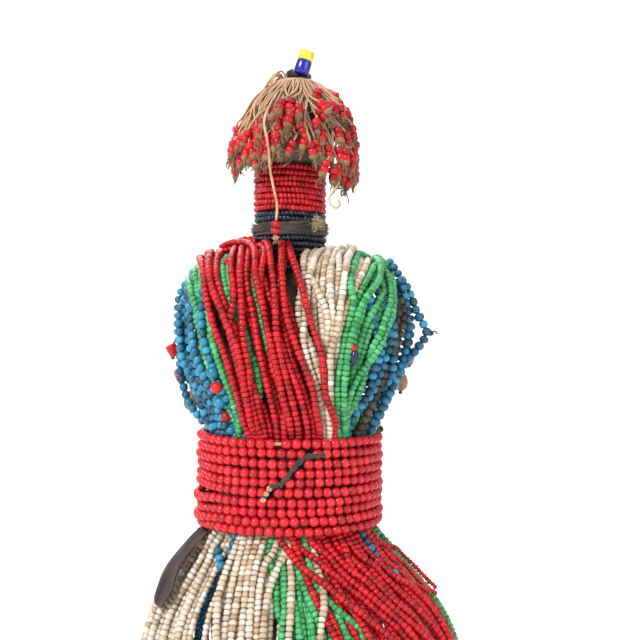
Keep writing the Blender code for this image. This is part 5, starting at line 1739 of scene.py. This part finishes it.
BINDING = fibre_material("binding_thread", (0.010, 0.007, 0.006), (0.120, 0.082, 0.062), turns=1900.0)
PALE_TUFT = fibre_material("pale_tuft", (0.420, 0.340, 0.160), (0.760, 0.680, 0.400))
binding_low, binding_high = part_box("neck_binding")
binding_reach = (binding_high[0] - binding_low[0]) / 2
THREAD_TURNS = 11
THREAD_RADIUS = 0.44 * MM


def wound_thread(turns, rise, drift, seed):
    """A thread wound round the neck, up by rise of the band's height, with uneven turns."""
    own = np.random.default_rng(seed)
    turn = np.linspace(0, 2 * math.pi * turns, 34 * turns)
    share = turn / turn[-1]
    tall = binding_high[2] - binding_low[2] - 2 * THREAD_RADIUS
    level = binding_low[2] + THREAD_RADIUS + tall * (rise * share + (1 - rise) / 2)
    wave = own.uniform(0, 6.28, 3)
    level = level + drift * np.sin(turn + wave[0]) + 0.25 * MM * np.sin(2.7 * turn + wave[1])
    level = np.clip(level, binding_low[2] + THREAD_RADIUS, binding_high[2] - THREAD_RADIUS)
    out = binding_reach - 1.0 * MM + 0.3 * MM * np.sin(0.37 * turn + wave[2])
    out = out + 0.25 * MM * np.sin(3.3 * turn)
    return np.stack([out * np.sin(turn), out * np.cos(turn), level], axis=1)


threads = [sweep("binding_turns", wound_thread(THREAD_TURNS, 1.0, 0.2 * MM, 1), 0.62 * MM, 5, BINDING)]
for k in range(5):
    over = wound_thread(3 + k % 2, 0.4 + 0.1 * k, (0.6 + 0.35 * k) * MM, 2 + k)
    over = over * (1.02 + 0.008 * k, 1.02 + 0.008 * k, 1.0)
    threads.append(sweep(f"binding_over_{k}", over, 0.5 * MM, 5, BINDING, tint=0.3 + 0.15 * k))
FUZZ = 1200
angles = dice.uniform(0, 2 * math.pi, FUZZ)
levels = dice.uniform(binding_low[2] + 0.6 * MM, binding_high[2] - 0.6 * MM, FUZZ)
fuzz_reach = binding_reach - 0.5 * MM
roots = [(fuzz_reach * math.sin(a), fuzz_reach * math.cos(a), z) for a, z in zip(angles, levels)]
blown = dice.normal(0, 1.1, (FUZZ, 3))
ways = [(math.sin(a) + w[0], math.cos(a) + w[1], w[2]) for a, w in zip(angles, blown)]
lengths = dice.uniform(1.2, 3.4, FUZZ) * MM
threads.append(fibres("binding_fuzz", roots, ways, lengths, 0.11 * MM, BINDING, seed=5))
x, z = seen_at(316, 223, binding_reach)
tuft_root = np.array((x, math.sqrt(binding_reach**2 - x * x), z))
TUFT_HAIRS = 260
ways = dice.normal(0, 0.8, (TUFT_HAIRS, 3)) + (-0.3, 1.0, 0.0)
roots = tuft_root + dice.normal(0, 1.5 * MM, (TUFT_HAIRS, 3))
lengths = dice.uniform(1.2, 3.2, TUFT_HAIRS) * MM
threads.append(fibres("pale_tuft", roots, ways, lengths, 0.17 * MM, PALE_TUFT, seed=6))
place_piece(joined("neck_binding_threads", threads), "binding", "neck_binding")

# The leather strap: one curled and creased strip


def leather_material():
    """Old plum-brown leather: pores, creases and worn pale edges."""
    made, nodes, links, shader = new_material("old_leather")
    broad = noise(nodes, links, 120.0, 5.0, 0.7)
    pores = noise(nodes, links, 1300.0, 3.0, 0.6)
    colour = ramp(nodes, links, broad, ((0.3, (0.016, 0.010, 0.011)), (0.7, (0.060, 0.036, 0.036))))
    edge = between(nodes, links, attribute(nodes, "worn_edge"), 0.55, 1.0, 0.0, 0.6)
    colour = mixed(nodes, links, edge, colour, (0.110, 0.070, 0.060))
    shader.inputs["Specular IOR Level"].default_value = 0.22
    links.new(colour, shader.inputs["Base Color"])
    links.new(between(nodes, links, pores, 0.3, 0.8, 0.42, 0.75), shader.inputs["Roughness"])
    both = mixed(nodes, links, 0.5, broad, pores)
    bump(nodes, links, shader, both, 0.5 * MM, 0.8)
    return made


STRAP_LOW, STRAP_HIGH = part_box("leather_strap")
STRAP_WIDTH = 10.5 * MM
STRAP_THICKNESS = 1.7 * MM


def strap_point(share, across, lift):
    """A point of the strap: share down its length, across from -1 to 1, lift off the skirt."""
    level = STRAP_HIGH[2] - (STRAP_HIGH[2] - STRAP_LOW[2]) * share
    wide, deep, sway = (float(v) for v in skirt_measures(np.array(level)))
    half = math.degrees(STRAP_WIDTH / 2 / wide) * (0.72 + 0.45 * math.sin(0.2 + 2.6 * share))
    angle = math.radians(67.5 - 2.5 * share + 3 * math.sin(5.5 * share) + across * half)
    out = abs(math.sin(angle) / wide) ** SKIRT_POWER + abs(math.cos(angle) / deep) ** SKIRT_POWER
    reach = out ** (-1 / SKIRT_POWER)
    stand = 2.4 * MM * (1 + 1.3 * math.sin(math.pi * share) ** 0.5)
    curl = 1.5 * MM * across**2 * (0.4 + share) + 0.35 * MM * math.sin(9 * share + 2.4 * across)
    reach += stand + lift + curl
    ripple = 0.5 * MM * math.sin(3 * across + 4 * share)
    return (reach * math.sin(angle) - sway, reach * math.cos(angle), level + ripple)


def leather_strap(down=46, over=9):
    rows, worn = [], []
    for k in range(down):
        share = k / (down - 1)
        narrow = 1.0 - 0.25 * max(0.0, share - 0.9) / 0.1
        ring, wear = [], []
        for lift, order in ((STRAP_THICKNESS, range(over)), (0.0, range(over - 1, -1, -1))):
            for j in order:
                across = narrow * (2 * j / (over - 1) - 1)
                round_edge = 0.25 * STRAP_THICKNESS if j in (0, over - 1) else 0.0
                ring.append(strap_point(share, across, lift + (round_edge if lift == 0.0 else -round_edge)))
                wear.append(abs(across) if lift else 0.3)
        rows.append(ring)
        worn += wear
    around = len(rows[0])
    faces = []
    for k in range(down - 1):
        for i in range(around):
            j = (i + 1) % around
            faces.append((k * around + i, (k + 1) * around + i, (k + 1) * around + j, k * around + j))
    faces.append(tuple(range(around)))
    faces.append(tuple(reversed(range((down - 1) * around, down * around))))
    points = [p for ring in rows for p in ring]
    return mesh_object("leather_strap_curled", points, faces, leather_material(), worn_edge=worn)


place_piece(leather_strap(), "leather", "leather_strap")

# The carved figure: the solid's own shape, cut finer

HEAD_HEIGHT = CROWN - JAW
FACE_FRONT = -8 * MM
CARVING_CELL = 1.7 * MM


def wood_material():
    """Dark handled hardwood: grain up the figure, adze marks, lighter rubbed patches and dust in the cuts.
    """
    made, nodes, links, shader = new_material("dark_wood")
    grain = noise(nodes, links, 260.0, 6.0, 0.65, stretch=(1.0, 1.0, 0.09))
    broad = noise(nodes, links, 38.0, 4.0)
    fine = noise(nodes, links, 1100.0, 3.0, 0.7, stretch=(1.0, 1.0, 0.25))
    colour = ramp(nodes, links, grain, ((0.3, (0.016, 0.009, 0.006)), (0.7, (0.066, 0.040, 0.027))))
    patina = between(nodes, links, broad, 0.4, 0.7, 0.0, 0.55)
    colour = mixed(nodes, links, patina, colour, (0.120, 0.078, 0.052))
    dust = between(nodes, links, attribute(nodes, "cut_depth"), 0.15, 0.9, 0.0, 0.6)
    colour = mixed(nodes, links, dust, colour, (0.160, 0.120, 0.085))
    links.new(colour, shader.inputs["Base Color"])
    links.new(between(nodes, links, fine, 0.3, 0.8, 0.34, 0.68), shader.inputs["Roughness"])
    bump(nodes, links, shader, mixed(nodes, links, 0.5, grain, fine), 0.4 * MM, 0.6)
    return made


def hill(distance, width):
    """1 at a distance of 0, falling smoothly to nothing at about two widths."""
    return np.exp(-((distance / width) ** 2))


def oval_distance(u, v, middle, half):
    """0 on an oval's edge, -1 at its middle and more outside."""
    return np.hypot((u - middle[0]) / half[0], (v - middle[1]) / half[1]) - 1


def face_relief(p, n):
    """Lids, lips, brow and cheek marks: a height out of the face and the depth of the cuts."""
    height, cut = np.zeros(len(p)), np.zeros(len(p))
    front = (p[:, 1] < FACE_FRONT) & (p[:, 2] > JAW) & (n[:, 1] < 0.1)
    lean = -2.5 * MM * np.clip((p[:, 2] - JAW) / HEAD_HEIGHT, 0, 1)
    u = (p[:, 0] - lean) / MM
    v = (p[:, 2] - JAW) / MM
    for side in (1, -1):
        eye = oval_distance(u, v, (8.0 * side, 17.1), (3.9, 2.2))
        height += 0.75 * hill(eye - 0.1, 0.22) + 0.9 * hill(eye + 1, 0.5)
        slit = hill(v - 17.1, 0.42) * hill(np.maximum(0, np.abs(u - 8.0 * side) - 2.6), 0.6)
        height -= 0.75 * slit
        cut += slit
        brow = 21.3 + 0.9 * np.cos((u - 8.0 * side) / 4.2)
        height += 0.6 * hill(v - brow, 0.9) * hill(np.maximum(0, np.abs(u - 8.0 * side) - 4.2), 1.2)
        for step in range(3):
            within = hill(np.maximum(0, np.abs(u - 11.5 * side) - 1.9), 0.5)
            mark = hill(v - (12.6 - 1.9 * step), 0.45) * within
            height -= 0.55 * mark
            cut += mark
        height += 0.55 * hill(np.hypot(u - 2.9 * side, v - 11.4), 1.1)
    mouth = oval_distance(u, v, (0.0, 5.7), (4.7, 1.7))
    height += 0.65 * hill(mouth - 0.12, 0.3)
    lips = hill(v - 5.7, 0.4) * hill(np.maximum(0, np.abs(u) - 3.4), 0.7)
    height -= 0.4 * lips
    cut += lips
    return np.where(front, height, 0) * MM, np.where(front, cut, 0)


def hand_and_foot_relief(p, n):
    """Grooves between the fingers on the belly and between the toes."""
    height, cut = np.zeros(len(p)), np.zeros(len(p))
    x, y, z = np.abs(p[:, 0]) / MM, p[:, 1] / MM, p[:, 2] / MM
    hand = (y < -38) & (z > 180) & (z < 215) & (x < 22)
    middle = float(np.median(z[hand])) if hand.any() else 195.0
    for step in (-1, 0, 1):
        groove = hill(z - (middle + 2.6 * step), 0.6) * np.clip((19.5 - x) / 3, 0, 1)
        groove = np.where(hand & (n[:, 1] < 0.3), groove, 0)
        height -= 0.8 * groove
        cut += groove
    toes = (y < -24) & (z > 8.6) & (z < 19) & (x > 6)
    for step in (-1.5, -0.5, 0.5, 1.5):
        groove = hill(x - (19.5 + 4.6 * step), 0.7) * np.clip((-24 - y) / 4, 0, 1)
        groove = np.where(toes, groove, 0)
        height -= 0.9 * groove
        cut += groove
    return height * MM, cut


def carved_figure():
    """The figure's solid on a fine even mesh, with its face, fingers, toes and tool marks."""
    source = bpy.data.objects["figure"]
    made = bpy.data.objects.new("figure_carved", source.data.copy())
    bpy.context.collection.objects.link(made)
    cells = made.modifiers.new("cells", "REMESH")
    cells.mode = "VOXEL"
    cells.voxel_size = CARVING_CELL
    soft = made.modifiers.new("soft", "SMOOTH")
    soft.factor = 0.5
    soft.iterations = 3
    evaluated = made.evaluated_get(bpy.context.evaluated_depsgraph_get())
    mesh = bpy.data.meshes.new_from_object(evaluated)
    made.modifiers.clear()
    made.data = mesh
    mesh.name = "figure_carved"
    shape = bmesh.new()
    shape.from_mesh(mesh)
    low, high = JAW + MM, JAW + 0.66 * HEAD_HEIGHT
    edges = [
        e for e in shape.edges
        if all(v.co.y < FACE_FRONT and low < v.co.z < high for v in e.verts)
    ]
    bmesh.ops.subdivide_edges(shape, edges=edges, cuts=2, use_grid_fill=True)
    shape.normal_update()
    shape.to_mesh(mesh)
    shape.free()
    count = len(mesh.vertices)
    p, n = np.zeros(3 * count), np.zeros(3 * count)
    mesh.vertices.foreach_get("co", p)
    mesh.vertices.foreach_get("normal", n)
    p, n = p.reshape(-1, 3), n.reshape(-1, 3)
    height, cut = face_relief(p, n)
    more, deeper = hand_and_foot_relief(p, n)
    tool = np.array([turbulence(Vector(q) * 120.0, 2, False) for q in p]) - 0.5
    floor = p[:, 2] < 0.6 * MM
    height = np.where(floor, 0, height + more + 0.42 * MM * tool)
    mesh.vertices.foreach_set("co", (p + n * height[:, None]).ravel())
    mesh.polygons.foreach_set("use_smooth", [True] * len(mesh.polygons))
    mesh.attributes.new("cut_depth", "FLOAT", "POINT").data.foreach_set("value", cut + deeper)
    mesh.materials.clear()
    mesh.materials.append(wood_material())
    mesh.update()
    return made


place_piece(carved_figure(), "wood", "figure")

TEMPLATES = (
    SEED, THIN_SEED, INNER_SEED, HIDDEN_SEED, BALL, LARGE_BALL, DARK_SEED, NECK_SEED, BLUE_BALL,
    FRINGE_SEED, KNOT, NOTHING,
)
for maker in TEMPLATES:
    bpy.data.objects.remove(maker, do_unlink=True)

# Stage, light and camera


def stage_material(name, colour, roughness):
    made, _, _, shader = new_material(name)
    shader.inputs["Base Color"].default_value = (*colour, 1.0)
    shader.inputs["Roughness"].default_value = roughness
    return made


def backdrop():
    """A pale floor that turns up softly far behind the doll."""
    profile = [(1.3, 0.0)]
    bend = np.linspace(0, math.pi / 2, 12)
    profile += [(-1.2 - 0.35 * math.sin(a), 0.35 - 0.35 * math.cos(a)) for a in bend]
    profile.append((-1.55, 2.2))
    points, faces = [], []
    for y, z in profile:
        points += [(-2.4, y, z), (2.4, y, z)]
    for k in range(len(profile) - 1):
        faces.append((2 * k, 2 * k + 2, 2 * k + 3, 2 * k + 1))
    made = mesh_object("backdrop", points, faces, stage_material("pale_backdrop", (0.93, 0.93, 0.93), 0.9))
    return made


def area_light(name, place, aim, size, power, colour=(1.0, 1.0, 1.0)):
    light = bpy.data.lights.new(name, "AREA")
    light.shape = "DISK"
    light.size = size
    light.energy = power
    light.color = colour
    made = bpy.data.objects.new(name, light)
    made.location = place
    made.rotation_euler = (Vector(aim) - Vector(place)).to_track_quat("-Z", "Y").to_euler()
    bpy.context.collection.objects.link(made)


backdrop()
area_light("key", (0.7, 0.9, 0.95), (0.0, 0.0, 0.19), 0.4, 19.0)
area_light("fill", (-0.95, 0.75, 0.45), (0.0, 0.0, 0.19), 0.9, 5.0)
area_light("front", (0.3, -1.0, 0.8), (0.0, 0.0, 0.19), 0.8, 9.0)
area_light("backdrop_light", (0.0, -0.5, 1.5), (0.0, -1.4, 0.3), 1.2, 16.0)
world = bpy.data.worlds.new("studio")
world.use_nodes = True
background = next(n for n in world.node_tree.nodes if n.type == "BACKGROUND")
background.inputs["Color"].default_value = (1.0, 1.0, 1.0, 1.0)
background.inputs["Strength"].default_value = 0.46
bpy.context.scene.world = world
bpy.context.scene.view_settings.view_transform = "Standard"
lens = bpy.data.cameras.new("camera")
lens.lens = 56.5
lens.sensor_width = 36.0
lens.clip_start = 0.02
camera = bpy.data.objects.new("camera", lens)
camera.location = (-13.5 * MM, VIEW_DISTANCE, VIEW_HEIGHT)
camera.rotation_euler = (math.radians(90), 0.0, math.radians(180))
bpy.context.collection.objects.link(camera)
bpy.context.scene.camera = camera
